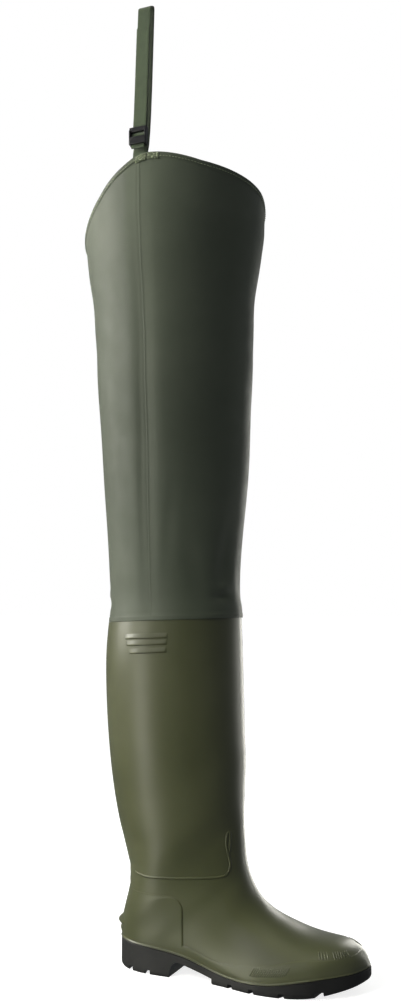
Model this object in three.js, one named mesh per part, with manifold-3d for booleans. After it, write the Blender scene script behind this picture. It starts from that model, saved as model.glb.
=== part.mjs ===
// Hip wader, right boot: a moulded boot with a coated fabric leg and a webbing loop.
// Millimetres, +Z up, +X towards the toe, -Y towards the outer (lateral) side.

import * as THREE from "three";
import { mergeVertices } from "three/addons/utils/BufferGeometryUtils.js";
import Module from "manifold-3d";

const wasm = await Module();
wasm.setup();

// Foot and sole
const soleLength = 285;
const ballWidth = 101;
const heelHeight = 30;
const instepHeight = 122;
const toeOverhang = 1.4;
const footlineInset = 1.3;
const soleEdgeBevel = 1.2;
const treadDepth = 4.5;
const grooveWidth = 5.2;
const shankBarWidth = 27;
const shankPocketDepth = 2.5;
const insoleThickness = 3;

// Leg
const legDepth = 161;
const legWidth = 140;
const jointHeight = 382;
const sleeveHeight = 21;
const rimHeight = 907;
const rimDrop = 87;
const rimDepth = 219;
const rimWidth = 190;

// Walls and steps
const bootWall = 2.6;
const fabricWall = 1;
const clearance = 0.3;
const bandHeight = 14;
const mouldedStep = 0.9;
const counterHeight = 57;
const beadWidth = 2.4;
const ribLength = 55;
const ribHeight = 5;
const ribPitch = 7.9;
const spurReach = 4.6;
const spurHeight = 5;
const hemHeight = 6;
const hemStep = 0.7;
const seamWidth = 11;
const seamStep = 0.6;

// Strap and buckle
const webbingWidth = 16;
const webbingThickness = 1.3;
const strapRise = 177;
const strapSpread = 8.5;
const strapLean = 5;
const tailDrop = 26;
const tabLength = 30;
const buckleWidth = 21;
const buckleHeight = 21;
const buckleThickness = 4;

// Faces per ring and per strip
const ringSteps = 32;
const curveSamples = 64;

const legAxis = 0.214 * soleLength;

// Reads rows of numbers under column names.
function table(names, rows) {
  return rows.map((row) => Object.fromEntries(names.map((name, k) => [name, row[k]])));
}

// One row for each section of the foot, from the back of the heel to the tip of the toe.
// along, ridgeAlong: shares of soleLength. centre, half, ridgeShift, girth: shares of ballWidth.
// feather, ground: shares of heelHeight. ridge: share of instepHeight.
// widest: where the side is fullest, from the sole (0) to the ridge (1). full: roundness exponent.
const footSections = table(
  ["along", "centre", "half", "feather", "ground", "ridgeAlong", "ridge", "ridgeShift", "girth", "widest", "full"],
  [
    [0.0, 0.0, 0.0, 1.02, 0.06, 0.512, 1.255, 0.0, 0.436, 0.5, 2.05],
    [0.01, 0.0, 0.127, 1.02, 0.04, 0.5125, 1.2, 0.0, 0.428, 0.49, 2.06],
    [0.04, 0.0, 0.24, 1.02, 0.01, 0.5135, 1.14, 0.0, 0.412, 0.48, 2.08],
    [0.09, 0.0, 0.325, 1.0, 0.0, 0.515, 1.07, 0.005, 0.374, 0.46, 2.1],
    [0.15, 0.0, 0.367, 0.97, 0.0, 0.5185, 0.995, 0.01, 0.33, 0.44, 2.1],
    [0.22, 0.0, 0.378, 0.92, 0.0, 0.5255, 0.91, 0.02, 0.303, 0.4, 2.1],
    [0.32, -0.011, 0.367, 0.79, 0.0, 0.54, 0.812, 0.03, 0.32, 0.34, 2.1],
    [0.42, -0.028, 0.361, 0.52, 0.0, 0.565, 0.703, 0.045, 0.337, 0.28, 2.1],
    [0.52, -0.04, 0.406, 0.35, 0.0, 0.607, 0.606, 0.058, 0.333, 0.22, 2.12],
    [0.6, -0.034, 0.463, 0.335, 0.0, 0.656, 0.537, 0.066, 0.311, 0.2, 2.15],
    [0.66, -0.017, 0.491, 0.37, 0.0, 0.705, 0.489, 0.07, 0.287, 0.18, 2.18],
    [0.72, 0.003, 0.5, 0.45, 0.0, 0.761, 0.444, 0.074, 0.267, 0.17, 2.2],
    [0.8, 0.025, 0.471, 0.59, 0.03, 0.832, 0.412, 0.078, 0.234, 0.16, 2.25],
    [0.87, 0.045, 0.406, 0.69, 0.13, 0.898, 0.394, 0.08, 0.192, 0.15, 2.3],
    [0.93, 0.059, 0.308, 0.75, 0.26, 0.947, 0.352, 0.083, 0.137, 0.15, 2.3],
    [0.97, 0.075, 0.202, 0.79, 0.36, 0.975, 0.296, 0.085, 0.08, 0.15, 2.3],
    [0.993, 0.0875, 0.087, 0.82, 0.44, 0.988, 0.252, 0.086, 0.04, 0.15, 2.25],
    [1.0, 0.085, 0.0, 0.83, 0.48, 0.991, 0.204, 0.085, 0.0, 0.15, 2.25],
  ],
);

// One row for each closed section from the heel up to the joint with the fabric.
// back, front: distance from the leg axis as shares of legDepth. half: share of legWidth.
// backRise, frontRise: shares of the way from the feather line, or the ridge, to jointHeight.
const ankleSections = table(
  ["back", "backRise", "front", "frontRise", "half"],
  [
    [0.374, 0.026, 0.523, 0.031, 0.32],
    [0.357, 0.066, 0.522, 0.066, 0.331],
    [0.328, 0.112, 0.521, 0.105, 0.346],
    [0.306, 0.163, 0.521, 0.149, 0.364],
    [0.312, 0.226, 0.522, 0.197, 0.382],
    [0.345, 0.288, 0.524, 0.245, 0.401],
    [0.385, 0.354, 0.527, 0.297, 0.422],
    [0.418, 0.425, 0.526, 0.354, 0.443],
    [0.446, 0.51, 0.521, 0.424, 0.464],
    [0.47, 0.61, 0.516, 0.511, 0.482],
    [0.488, 0.724, 0.512, 0.633, 0.494],
    [0.497, 0.838, 0.507, 0.764, 0.5],
    [0.494, 0.923, 0.502, 0.882, 0.497],
    [0.48, 1.0, 0.496, 1.0, 0.486],
  ],
);

// One row for each section of the fabric leg. rise: share of the way from jointHeight to
// rimHeight. deep, wide: shares of the way from the joint's half sizes to the rim's.
// shift: distance of the section's centre ahead of the leg axis, share of legDepth.
const shaftSections = table(
  ["rise", "deep", "wide", "shift"],
  [
    [0.0, 0.0, 0.0, 0.012],
    [0.023, -0.02, -0.02, 0.015],
    [0.044, -0.06, -0.06, 0.012],
    [0.095, -0.035, -0.035, 0.006],
    [0.17, 0.045, 0.045, 0.005],
    [0.244, 0.16, 0.16, 0.007],
    [0.318, 0.268, 0.268, 0.009],
    [0.392, 0.337, 0.337, 0.009],
    [0.469, 0.404, 0.404, 0.004],
    [0.543, 0.482, 0.482, 0.002],
    [0.6, 0.51, 0.51, 0.001],
    [0.657, 0.565, 0.565, -0.004],
    [0.714, 0.62, 0.62, -0.008],
    [0.773, 0.78, 0.78, -0.009],
    [0.832, 0.915, 0.915, -0.005],
    [0.87, 1.0, 1.0, -0.005],
    [1.0, 1.04, 1.04, -0.005],
  ],
);

// How far the rim lies below its highest point, all round from the back over the outer side.
const rimProfile = table(
  ["around", "drop"],
  [
    [0.0, 0.93],
    [0.08, 0.78],
    [0.16, 0.41],
    [0.22, 0.115],
    [0.27, 0.0],
    [0.36, 0.126],
    [0.5, 0.32],
    [0.6, 0.6],
    [0.75, 0.91],
    [0.9, 1.0],
    [1.0, 0.93],
  ],
);

const mix = (a, b, t) => a + (b - a) * t;
const clamp = (value, low, high) => Math.min(Math.max(value, low), high);
const point = (x, y, z) => new THREE.Vector3(x, y, z);

// A smooth curve through values at whole-number places, level at an end where flat says so.
function smoothThrough(values, flatStart = false, flatEnd = false) {
  const last = values.length - 1;
  const low = values.map(() => 1);
  const diagonal = values.map(() => 4);
  const right = values.map((value, k) =>
    k === 0 || k === last ? 0 : 6 * (values[k - 1] - 2 * value + values[k + 1]),
  );
  diagonal[0] = flatStart ? 2 : 1;
  diagonal[last] = flatEnd ? 2 : 1;
  if (flatStart) right[0] = 6 * (values[1] - values[0]);
  if (flatEnd) right[last] = 6 * (values[last - 1] - values[last]);
  const above = values.map((_, k) => (k === 0 && !flatStart ? 0 : 1));
  if (!flatEnd) low[last] = 0;
  for (let k = 1; k <= last; k++) {
    const factor = low[k] / diagonal[k - 1];
    diagonal[k] -= factor * above[k - 1];
    right[k] -= factor * right[k - 1];
  }
  const bend = values.map(() => 0);
  bend[last] = right[last] / diagonal[last];
  for (let k = last - 1; k >= 0; k--) bend[k] = (right[k] - above[k] * bend[k + 1]) / diagonal[k];
  return (place) => {
    const k = Math.floor(clamp(place, 0, last - 1e-9));
    const t = place - k;
    const s = 1 - t;
    const sag = ((s ** 3 - s) * bend[k] + (t ** 3 - t) * bend[k + 1]) / 6;
    return s * values[k] + t * values[k + 1] + sag;
  };
}

// A column of a table as a smooth curve over the row number.
function column(rows, name, scale, flatStart, flatEnd) {
  const values = rows.map((row) => row[name] * scale);
  return smoothThrough(values, flatStart, flatEnd);
}

// A smooth curve through rows whose places are one of their own columns.
function curveOver(rows, placeName, valueName) {
  const places = rows.map((row) => row[placeName]);
  const value = column(rows, valueName, 1);
  return (place) => {
    let k = 0;
    while (k < places.length - 2 && place > places[k + 1]) k++;
    const share = (place - places[k]) / (places[k + 1] - places[k]);
    return value(k + clamp(share, 0, 1));
  };
}

// The sole's outline and the heights along it
const toeStation = footSections.length - 1;
const outlineAlong = column(footSections, "along", soleLength, true, true);
const outlineCentre = column(footSections, "centre", ballWidth, true, true);
const outlineHalf = column(footSections, "half", ballWidth);
const featherHeight = column(footSections, "feather", heelHeight);
const groundHeight = column(footSections, "ground", heelHeight);

// A point of the outline in plan, moved inwards by an inset. side is -1 lateral, 1 medial.
function outlinePoint(station, side, inset) {
  const at = (s) => {
    const folded = s < 0 ? -s : s > toeStation ? 2 * toeStation - s : s;
    const hand = folded === s ? side : -side;
    const y = outlineCentre(folded) + hand * outlineHalf(folded);
    return new THREE.Vector2(outlineAlong(folded), y);
  };
  const step = 0.02;
  const tangent = at(station + step).sub(at(station - step)).normalize();
  const inward = new THREE.Vector2(side * tangent.y, -side * tangent.x);
  return at(station).addScaledVector(inward, inset);
}

// The height of the feather line or the ground over any place along the foot
function heightAlong(height, x) {
  let low = 0;
  let high = toeStation;
  for (let k = 0; k < 30; k++) {
    const middle = (low + high) / 2;
    if (outlineAlong(middle) < x) low = middle;
    else high = middle;
  }
  return height((low + high) / 2);
}
const featherAt = (x) => heightAlong(featherHeight, x);
const groundAt = (x) => heightAlong(groundHeight, x);

// The boot's own curves over all its sections, from the toe's tip back and up to the joint
const heelRow = toeStation;
const topRow = heelRow + ankleSections.length;
const heelBack = outlinePoint(0, 1, footlineInset);
const closedRidge = footSections[0].ridge * instepHeight;
const closedFeather = footSections[0].feather * heelHeight;

const footRows = [...footSections].reverse().map((row) => ({
  ridgeX: row.ridgeAlong * soleLength,
  ridgeY: row.ridgeShift * ballWidth,
  ridgeZ: row.ridge * instepHeight,
  girth: row.girth * ballWidth,
  widest: row.widest,
  full: row.full,
}));
const ankleRows = ankleSections.map((row) => ({
  ridgeX: legAxis + row.front * legDepth,
  ridgeY: 0,
  ridgeZ: mix(closedRidge, jointHeight, row.frontRise),
  girth: row.half * legWidth,
  widest: 0.5,
  full: 2,
}));
const bootRows = [...footRows, ...ankleRows];
const ridgeX = column(bootRows, "ridgeX", 1);
const ridgeY = column(bootRows, "ridgeY", 1);
const ridgeZ = column(bootRows, "ridgeZ", 1);
const girth = column(bootRows, "girth", 1);
const widest = column(bootRows, "widest", 1);
const full = column(bootRows, "full", 1);

const backRows = [
  { x: heelBack.x, z: closedFeather },
  ...ankleSections.map((row) => ({
    x: legAxis - row.back * legDepth,
    z: mix(closedFeather, jointHeight, row.backRise),
  })),
];
const backX = column(backRows, "x", 1);
const backZ = column(backRows, "z", 1);

// Where a section starts: on the sole's outline, or up the back of the leg once it is closed
function sectionFoot(row, side) {
  if (row >= heelRow) {
    return { x: backX(row - heelRow), y: 0, z: backZ(row - heelRow), half: 0 };
  }
  const station = toeStation - row;
  const toeShare = clamp((row < 6 ? 6 - row : 0) / 6, 0, 1);
  const plan = outlinePoint(station, side, footlineInset + toeOverhang * toeShare);
  return { x: plan.x, y: plan.y, z: featherAt(plan.x), half: 0 };
}

// Half of a section from its foot over the side to its ridge, as many small steps
function halfSection(foot, centreY, ridge, own) {
  const half = Math.abs(foot.y - centreY);
  const width = (half ** 4 + own.girth ** 4) ** 0.25;
  const open = width > 0 ? 1 - (half / width) ** own.full : 0;
  const steps = [];
  for (let k = 0; k <= curveSamples; k++) {
    const turn = (k / curveSamples) * 2 - 1;
    const lower = turn < 0;
    const reach = lower ? -turn : turn;
    const angle = (reach * Math.PI) / 2;
    const share = Math.sin(angle) ** (2 / own.full);
    const rise = lower ? own.widest * (1 - share) : mix(own.widest, 1, share);
    const hidden = lower ? open * share ** own.full : share ** own.full;
    const side = width * Math.max(0, 1 - hidden) ** (1 / own.full);
    const middle = mix(centreY, ridge.y, rise);
    steps.push(
      point(mix(foot.x, ridge.x, rise), middle + own.side * side, mix(foot.z, ridge.z, rise)),
    );
  }
  return steps;
}

// Even steps along a chain of points, at the given shares of its length
function evenSteps(chain, shares) {
  const lengths = [0];
  for (let k = 1; k < chain.length; k++) {
    lengths.push(lengths[k - 1] + chain[k].distanceTo(chain[k - 1]));
  }
  const total = lengths[lengths.length - 1];
  return shares.map((share) => {
    if (total === 0) return chain[0].clone();
    const want = share * total;
    let k = 1;
    while (k < chain.length - 1 && lengths[k] < want) k++;
    const t = (want - lengths[k - 1]) / Math.max(lengths[k] - lengths[k - 1], 1e-9);
    return chain[k - 1].clone().lerp(chain[k], clamp(t, 0, 1));
  });
}

// A whole section: from the lateral foot over the ridge to the medial foot
function wholeSection(lateralFoot, medialFoot, ridge, own, arounds) {
  const centreY = (lateralFoot.y + medialFoot.y) / 2;
  const lateral = halfSection(lateralFoot, centreY, ridge, { ...own, side: -1 });
  const medial = halfSection(medialFoot, centreY, ridge, { ...own, side: 1 });
  const lateralShares = arounds.filter((around) => around < 0.5).map((around) => around * 2);
  const medialShares = arounds.filter((around) => around >= 0.5).map((around) => 2 - around * 2);
  return [...evenSteps(lateral, lateralShares), ...evenSteps(medial, medialShares)];
}

const evenArounds = Array.from({ length: ringSteps + 1 }, (_, k) => k / ringSteps);

function bootSection(row, arounds) {
  const ridge = point(ridgeX(row), ridgeY(row), ridgeZ(row));
  const own = { girth: Math.max(girth(row), 0), widest: widest(row), full: full(row) };
  if (row === 0) {
    const tip = sectionFoot(0, 1);
    return arounds.map(() => point(tip.x, tip.y, tip.z));
  }
  return wholeSection(sectionFoot(row, -1), sectionFoot(row, 1), ridge, own, arounds);
}

// The fabric leg's own section at any height above the joint
const jointRow = ankleSections[ankleSections.length - 1];
const jointHalfDepth = ((jointRow.back + jointRow.front) / 2) * legDepth;
const jointHalfWidth = jointRow.half * legWidth;
const shaftDeep = curveOver(shaftSections, "rise", "deep");
const shaftWide = curveOver(shaftSections, "rise", "wide");
const shaftShift = curveOver(shaftSections, "rise", "shift");

function shaftSection(z, inset, arounds) {
  const rise = (z - jointHeight) / (rimHeight - jointHeight);
  const depth = mix(jointHalfDepth, rimDepth / 2, shaftDeep(rise)) - inset;
  const width = mix(jointHalfWidth, rimWidth / 2, shaftWide(rise)) - inset;
  const centre = legAxis + shaftShift(rise) * legDepth;
  const foot = { x: centre - depth, y: 0, z };
  const ridge = point(centre + depth, 0, z);
  return wholeSection(foot, foot, ridge, { girth: width, widest: 0.5, full: 2 }, arounds);
}

// Outward directions of a grid of points. closed(i) says that a row's ends meet.
function gridNormals(grid, closed) {
  const last = grid[0].length - 1;
  return grid.map((row, i) =>
    row.map((_, j) => {
      const before = grid[Math.max(i - 1, 0)];
      const after = grid[Math.min(i + 1, grid.length - 1)];
      const wrap = closed(i) && (j === 0 || j === last);
      const left = wrap ? row[last - 1] : row[Math.max(j - 1, 0)];
      const right = wrap ? row[1] : row[Math.min(j + 1, last)];
      const across = right.clone().sub(left);
      const along = after[j].clone().sub(before[j]);
      return across.cross(along).normalize();
    }),
  );
}

function offsetGrid(grid, normals, distance) {
  return grid.map((row, i) =>
    row.map((place, j) => place.clone().addScaledVector(normals[i][j], distance)),
  );
}

// A closed shell between two grids with the same rows and columns
function shellBetween(outer, inner, closed) {
  const triangles = [];
  const quad = (a, b, c, d) => triangles.push([a, b, c], [a, c, d]);
  const lastRow = outer.length - 1;
  const lastColumn = outer[0].length - 1;
  for (let i = 0; i < lastRow; i++) {
    for (let j = 0; j < lastColumn; j++) {
      quad(outer[i][j], outer[i][j + 1], outer[i + 1][j + 1], outer[i + 1][j]);
      quad(inner[i][j], inner[i + 1][j], inner[i + 1][j + 1], inner[i][j + 1]);
    }
    if (!closed(i)) {
      quad(outer[i][0], outer[i + 1][0], inner[i + 1][0], inner[i][0]);
      const k = lastColumn;
      quad(outer[i][k], inner[i][k], inner[i + 1][k], outer[i + 1][k]);
    }
  }
  for (let j = 0; j < lastColumn; j++) {
    const i = lastRow;
    quad(outer[i][j], outer[i][j + 1], inner[i][j + 1], inner[i][j]);
    if (closed(0)) quad(outer[0][j], inner[0][j], inner[0][j + 1], outer[0][j + 1]);
  }
  return solidFrom(triangles);
}

// A closed solid from triangles of points, turned so that its faces point out
function solidFrom(triangles) {
  const positions = triangles.flat().flatMap((place) => [place.x, place.y, place.z]);
  const geometry = new THREE.BufferGeometry();
  geometry.setAttribute("position", new THREE.Float32BufferAttribute(positions, 3));
  return solidOf(geometry);
}

function solidOf(geometry) {
  const bare = new THREE.BufferGeometry();
  bare.setAttribute("position", geometry.getAttribute("position"));
  if (geometry.index) bare.setIndex(geometry.index);
  const merged = mergeVertices(bare, 1e-4);
  const places = merged.getAttribute("position");
  const corners = merged.index.array;
  const kept = [];
  let volume = 0;
  const a = point(0, 0, 0);
  const b = point(0, 0, 0);
  const c = point(0, 0, 0);
  for (let k = 0; k < corners.length; k += 3) {
    const [p, q, r] = [corners[k], corners[k + 1], corners[k + 2]];
    if (p === q || q === r || r === p) continue;
    kept.push(p, q, r);
    a.fromBufferAttribute(places, p);
    b.fromBufferAttribute(places, q);
    c.fromBufferAttribute(places, r);
    volume += a.dot(b.cross(c));
  }
  if (volume < 0) kept.reverse();
  const mesh = new wasm.Mesh({
    numProp: 3,
    vertProperties: Float32Array.from(places.array),
    triVerts: Uint32Array.from(kept),
  });
  return new wasm.Manifold(mesh);
}

// A flat shape in the side view (x, z), made solid from y = from to y = to
function sidePrism(shape, from, to) {
  const geometry = new THREE.ExtrudeGeometry(shape, {
    depth: to - from,
    bevelEnabled: false,
    curveSegments: 6,
  });
  geometry.rotateX(Math.PI / 2).translate(0, to, 0);
  return solidOf(geometry);
}

// A flat shape in plan (x, y), made solid from z = from to z = to
function planPrism(shape, from, to) {
  const geometry = new THREE.ExtrudeGeometry(shape, {
    depth: to - from,
    bevelEnabled: false,
    curveSegments: 10,
  });
  geometry.translate(0, 0, from);
  return solidOf(geometry);
}

function shapeOf(corners) {
  return new THREE.Shape(corners.map(([x, y]) => new THREE.Vector2(x, y)));
}

// A band of even width along a chain of corners
function bandShape(corners, width) {
  const chain = corners.map(([x, y]) => new THREE.Vector2(x, y));
  const sides = [[], []];
  chain.forEach((corner, k) => {
    const before = k > 0 ? corner.clone().sub(chain[k - 1]).normalize() : null;
    const after = k < chain.length - 1 ? chain[k + 1].clone().sub(corner).normalize() : null;
    const one = before ?? after;
    const two = after ?? before;
    const normal = new THREE.Vector2(-one.y - two.y, one.x + two.x).normalize();
    const miter = 1 / Math.max(normal.dot(new THREE.Vector2(-one.y, one.x)), 0.4);
    sides[0].push(corner.clone().addScaledVector(normal, (width / 2) * miter));
    sides[1].unshift(corner.clone().addScaledVector(normal, (-width / 2) * miter));
  });
  return new THREE.Shape([...sides[0], ...sides[1]]);
}

function meshOf(solid, name, material) {
  const data = solid.getMesh();
  const geometry = new THREE.BufferGeometry();
  geometry.setAttribute("position", new THREE.BufferAttribute(data.vertProperties, 3));
  geometry.setIndex(new THREE.BufferAttribute(data.triVerts, 1));
  geometry.computeVertexNormals();
  const mesh = new THREE.Mesh(geometry, material);
  mesh.name = name;
  return mesh;
}

// Upper

const bootClosed = (i) => i >= heelRow;
const bootGrid = [];
for (let row = 0; row <= topRow; row++) bootGrid.push(bootSection(row, evenArounds));
const bootNormals = gridNormals(bootGrid, bootClosed);
bootNormals[0].forEach((normal) => normal.set(1, 0, 0));
for (const normal of [bootNormals[heelRow][0], bootNormals[heelRow][ringSteps]]) {
  normal.set(-1, 0, 0);
}

// Moves the boot's skin in or out. The edges on the sole stay at the feather line.
function bootSkin(distance) {
  const skin = offsetGrid(bootGrid, bootNormals, distance);
  skin.forEach((row, i) => {
    if (i > heelRow) return;
    for (const place of [row[0], row[row.length - 1]]) place.z = featherAt(place.x);
  });
  return skin;
}

function sleeveRows(inset) {
  const heights = [jointHeight, jointHeight + sleeveHeight / 2, jointHeight + sleeveHeight];
  return heights.map((z) => shaftSection(z, inset, evenArounds));
}

function bootShell() {
  const outer = [...bootSkin(0), ...sleeveRows(fabricWall + clearance)];
  const inner = [...bootSkin(-bootWall), ...sleeveRows(bootWall)];
  return shellBetween(outer, inner, bootClosed);
}

// A part of the skin, thicker by a step, that lies within a region
function raisedStep(region, step) {
  const skin = shellBetween(bootSkin(step), bootSkin(-bootWall / 2), bootClosed);
  return skin.intersect(region);
}

// How high the foxing band stands along the foot
const bandProfile = table(
  ["along", "share"],
  [
    [0, 0.6],
    [0.13, 0.57],
    [0.21, 0.65],
    [0.32, 0.92],
    [0.44, 0.97],
    [0.56, 1.22],
    [0.66, 1.4],
    [0.75, 1.47],
    [0.88, 1.3],
    [1, 1.15],
  ],
);
const bandShareAt = curveOver(bandProfile, "along", "share");

function foxingBand() {
  const corners = [];
  const steps = 22;
  for (let k = 0; k <= steps; k++) {
    const along = mix(-0.05, 1.05, k / steps);
    const x = along * soleLength;
    const height = bandHeight * bandShareAt(clamp(along, 0, 1));
    corners.push([x, featherAt(clamp(x, 0, soleLength)) + height]);
  }
  corners.push([1.05 * soleLength, -1], [-0.05 * soleLength, -1]);
  return sidePrism(shapeOf(corners), -ballWidth, ballWidth);
}

function heelCounter() {
  const front = 0.317 * soleLength;
  const top = heelHeight + counterHeight;
  const bend = 0.055 * soleLength;
  const shape = new THREE.Shape();
  shape.moveTo(-bend, heelHeight / 2);
  shape.lineTo(front, heelHeight / 2);
  shape.lineTo(front, top - bend);
  shape.quadraticCurveTo(front, top, front - bend, top);
  shape.lineTo(-bend, top);
  return sidePrism(shape, -ballWidth, ballWidth);
}

function kickOffSpur() {
  const radius = 0.27 * ballWidth;
  const shape = new THREE.Shape();
  shape.absarc(heelBack.x + radius - spurReach, 0, radius, 0, 2 * Math.PI);
  const middle = heelHeight * 1.66;
  const region = planPrism(shape, middle - spurHeight / 2, middle + spurHeight / 2);
  return raisedStep(region, spurReach + mouldedStep);
}

// The raised line that runs round the ankle and turns up beside the instep
function ankleBead() {
  const level = 0.86 * instepHeight;
  const front = 0.483 * soleLength;
  const bend = 0.03 * soleLength;
  const rise = 0.4 * instepHeight;
  const corners = [
    [-0.05 * soleLength, level + 8],
    [0.06 * soleLength, level + 4],
    [0.17 * soleLength, level],
    [0.3 * soleLength, level + 2],
    [front - bend, level + 4],
    [front - bend * 0.4, level + 5],
    [front - bend * 0.1, level + 4 + bend * 0.6],
    [front, level + 4 + bend * 1.3],
    [front, level + 4 + bend * 2],
    [front - bend * 0.35, level + rise * 0.75],
    [front - bend * 0.35, level + rise],
  ];
  return sidePrism(bandShape(corners, beadWidth), -legWidth, legWidth);
}

function fingerRibs() {
  const ribs = [0, 1, 2].map((k) => {
    const middle = legAxis - 0.015 * soleLength + 1.5 * k;
    const top = jointHeight - 11.5 - ribPitch * k;
    const half = ribLength / 2 - 2 * k;
    const corners = [
      [middle - half, top],
      [middle + half, top],
      [middle + half, top - ribHeight],
      [middle - half, top - ribHeight],
    ];
    return sidePrism(shapeOf(corners), -legWidth, 0);
  });
  return wasm.Manifold.union(ribs);
}

function bootUpper() {
  const regions = [foxingBand(), heelCounter(), ankleBead(), fingerRibs()];
  const steps = raisedStep(wasm.Manifold.union(regions), mouldedStep);
  const joined = wasm.Manifold.union([bootShell(), steps, kickOffSpur()]);
  const pieces = joined.decompose();
  return pieces.reduce((most, piece) => (piece.volume() > most.volume() ? piece : most));
}

// Outsole

const soleStations = [];
for (let k = 0; k <= toeStation; k++) soleStations.push(k);

// A closed solid from rings on the sole's outline, from the lowest ring to the highest
function solidOfRings(rings) {
  const grids = rings.map((ring) =>
    soleStations.map((station) =>
      [-1, 1].map((side) => {
        const plan = outlinePoint(station, side, ring.inset);
        return point(plan.x, plan.y, ring.height(plan.x));
      }),
    ),
  );
  const triangles = [];
  const quad = (a, b, c, d) => triangles.push([a, b, c], [a, c, d]);
  for (let k = 0; k < toeStation; k++) {
    const low = grids[0];
    const high = grids[grids.length - 1];
    quad(low[k][0], low[k][1], low[k + 1][1], low[k + 1][0]);
    quad(high[k][0], high[k + 1][0], high[k + 1][1], high[k][1]);
    for (let i = 0; i < grids.length - 1; i++) {
      const [under, over] = [grids[i], grids[i + 1]];
      quad(under[k][0], under[k + 1][0], over[k + 1][0], over[k][0]);
      quad(under[k][1], over[k][1], over[k + 1][1], under[k + 1][1]);
    }
  }
  return solidFrom(triangles);
}

function soleBody() {
  return solidOfRings([
    { inset: soleEdgeBevel, height: groundAt },
    { inset: soleEdgeBevel / 3, height: (x) => groundAt(x) + soleEdgeBevel },
    { inset: 0, height: (x) => featherAt(x) - clearance - 1 },
    { inset: 0.8, height: (x) => featherAt(x) - clearance },
  ]);
}

// The arch between heel and forefoot, seen from the side, and its V-shaped ends in plan
const breastAlong = 0.255;
const foreEdgeAlong = 0.43;

function archVoid() {
  const profile = new THREE.Shape();
  profile.moveTo(breastAlong * soleLength, -1);
  profile.lineTo((breastAlong + 0.004) * soleLength, 0.2 * heelHeight);
  profile.quadraticCurveTo(
    (breastAlong + 0.012) * soleLength,
    0.57 * heelHeight,
    (breastAlong + 0.04) * soleLength,
    0.57 * heelHeight,
  );
  profile.lineTo(foreEdgeAlong * soleLength, 0.21 * heelHeight);
  profile.lineTo((foreEdgeAlong + 0.1) * soleLength, 0.21 * heelHeight);
  profile.lineTo((foreEdgeAlong + 0.1) * soleLength, -1);
  const foreEnd = shapeOf([
    [0.2 * soleLength, -ballWidth],
    [foreEdgeAlong * soleLength, -0.42 * ballWidth],
    [(foreEdgeAlong + 0.05) * soleLength, -shankBarWidth / 2],
    [(foreEdgeAlong + 0.05) * soleLength, shankBarWidth / 2],
    [foreEdgeAlong * soleLength, 0.36 * ballWidth],
    [0.2 * soleLength, ballWidth],
  ]);
  return sidePrism(profile, -ballWidth, ballWidth).intersect(planPrism(foreEnd, -2, heelHeight));
}

// The pocket on each side of the shank's flat bar
function shankPockets() {
  const inner = shankBarWidth / 2;
  const outer = 0.28 * ballWidth;
  const back = (breastAlong + 0.03) * soleLength;
  const front = (foreEdgeAlong - 0.02) * soleLength;
  const pockets = [-1, 1].map((side) => {
    const corners = [
      [back, side * inner],
      [back, side * outer],
      [front, side * (inner + 2)],
      [front, side * inner],
    ];
    if (side < 0) corners.reverse();
    const profile = shapeOf([
      [back, -1],
      [front, -1],
      [front, 0.22 * heelHeight + shankPocketDepth],
      [back, 0.55 * heelHeight + shankPocketDepth],
    ]);
    return planPrism(shapeOf(corners), -1, heelHeight).intersect(
      sidePrism(profile, -ballWidth, ballWidth),
    );
  });
  return wasm.Manifold.union(pockets);
}

// The tread's grooves. edge: where a groove leaves the lateral side, share of soleLength.
// sweep: how far its middle lies ahead of its ends. reach: share of ballWidth to each side.
const grooves = table(
  ["edge", "sweep", "reach", "hook", "width"],
  [
    [0.838, 0.035, 0.6, 0, 1.5],
    [0.7, 0.1, 0.6, 0, 1],
    [0.585, 0.1, 0.6, 0, 1],
    [0.485, 0.1, 0.6, 0, 1],
    [0.72, 0.055, 0.27, 1, 1],
    [0.608, 0.055, 0.27, 1, 1],
    [0.502, 0.055, 0.27, 1, 1],
    [0.186, -0.05, 0.6, 0, 1],
    [0.095, -0.02, 0.6, 0, 1],
  ],
);

function treadGrooves() {
  const centre = outlineCentre(toeStation * 0.6);
  const cuts = grooves.map((row) => {
    const reach = row.reach * ballWidth;
    const end = row.edge * soleLength;
    const apex = (row.edge + row.sweep) * soleLength;
    const hook = row.hook * 0.035 * soleLength;
    const corners = [
      [end, centre - reach],
      [apex, centre],
      [end, centre + reach],
    ];
    if (hook > 0) {
      corners.unshift([end - hook, centre - reach]);
      corners.push([end - hook, centre + reach]);
    }
    const top = groundAt((end + apex) / 2) + treadDepth;
    return planPrism(bandShape(corners, grooveWidth * row.width), -2, top);
  });
  return wasm.Manifold.union(cuts);
}

function outsole() {
  const cuts = wasm.Manifold.union([archVoid(), shankPockets(), treadGrooves()]);
  return soleBody().subtract(cuts);
}

function insole() {
  const inset = footlineInset + toeOverhang + bootWall + 2 * clearance;
  const above = (rise) => (x) => featherAt(x) + rise;
  return solidOfRings([
    { inset, height: above(0) },
    { inset, height: above(insoleThickness * 0.7) },
    { inset: inset + 1, height: above(insoleThickness) },
  ]);
}

// Shaft

const rimDropAt = curveOver(rimProfile, "around", "drop");
const rimHeightAt = (around) => rimHeight - rimDrop * rimDropAt(around);

function shaftArounds() {
  const half = seamWidth / (2 * Math.PI * rimDepth * 0.46);
  const edge = half * 0.15;
  const seam = [-half - edge, -half, 0, half, half + edge].map((offset) => 0.25 + offset);
  const others = evenArounds.filter((around) => Math.abs(around - 0.25) > half + edge + 0.003);
  return [...others, ...seam].sort((one, other) => one - other);
}

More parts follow.
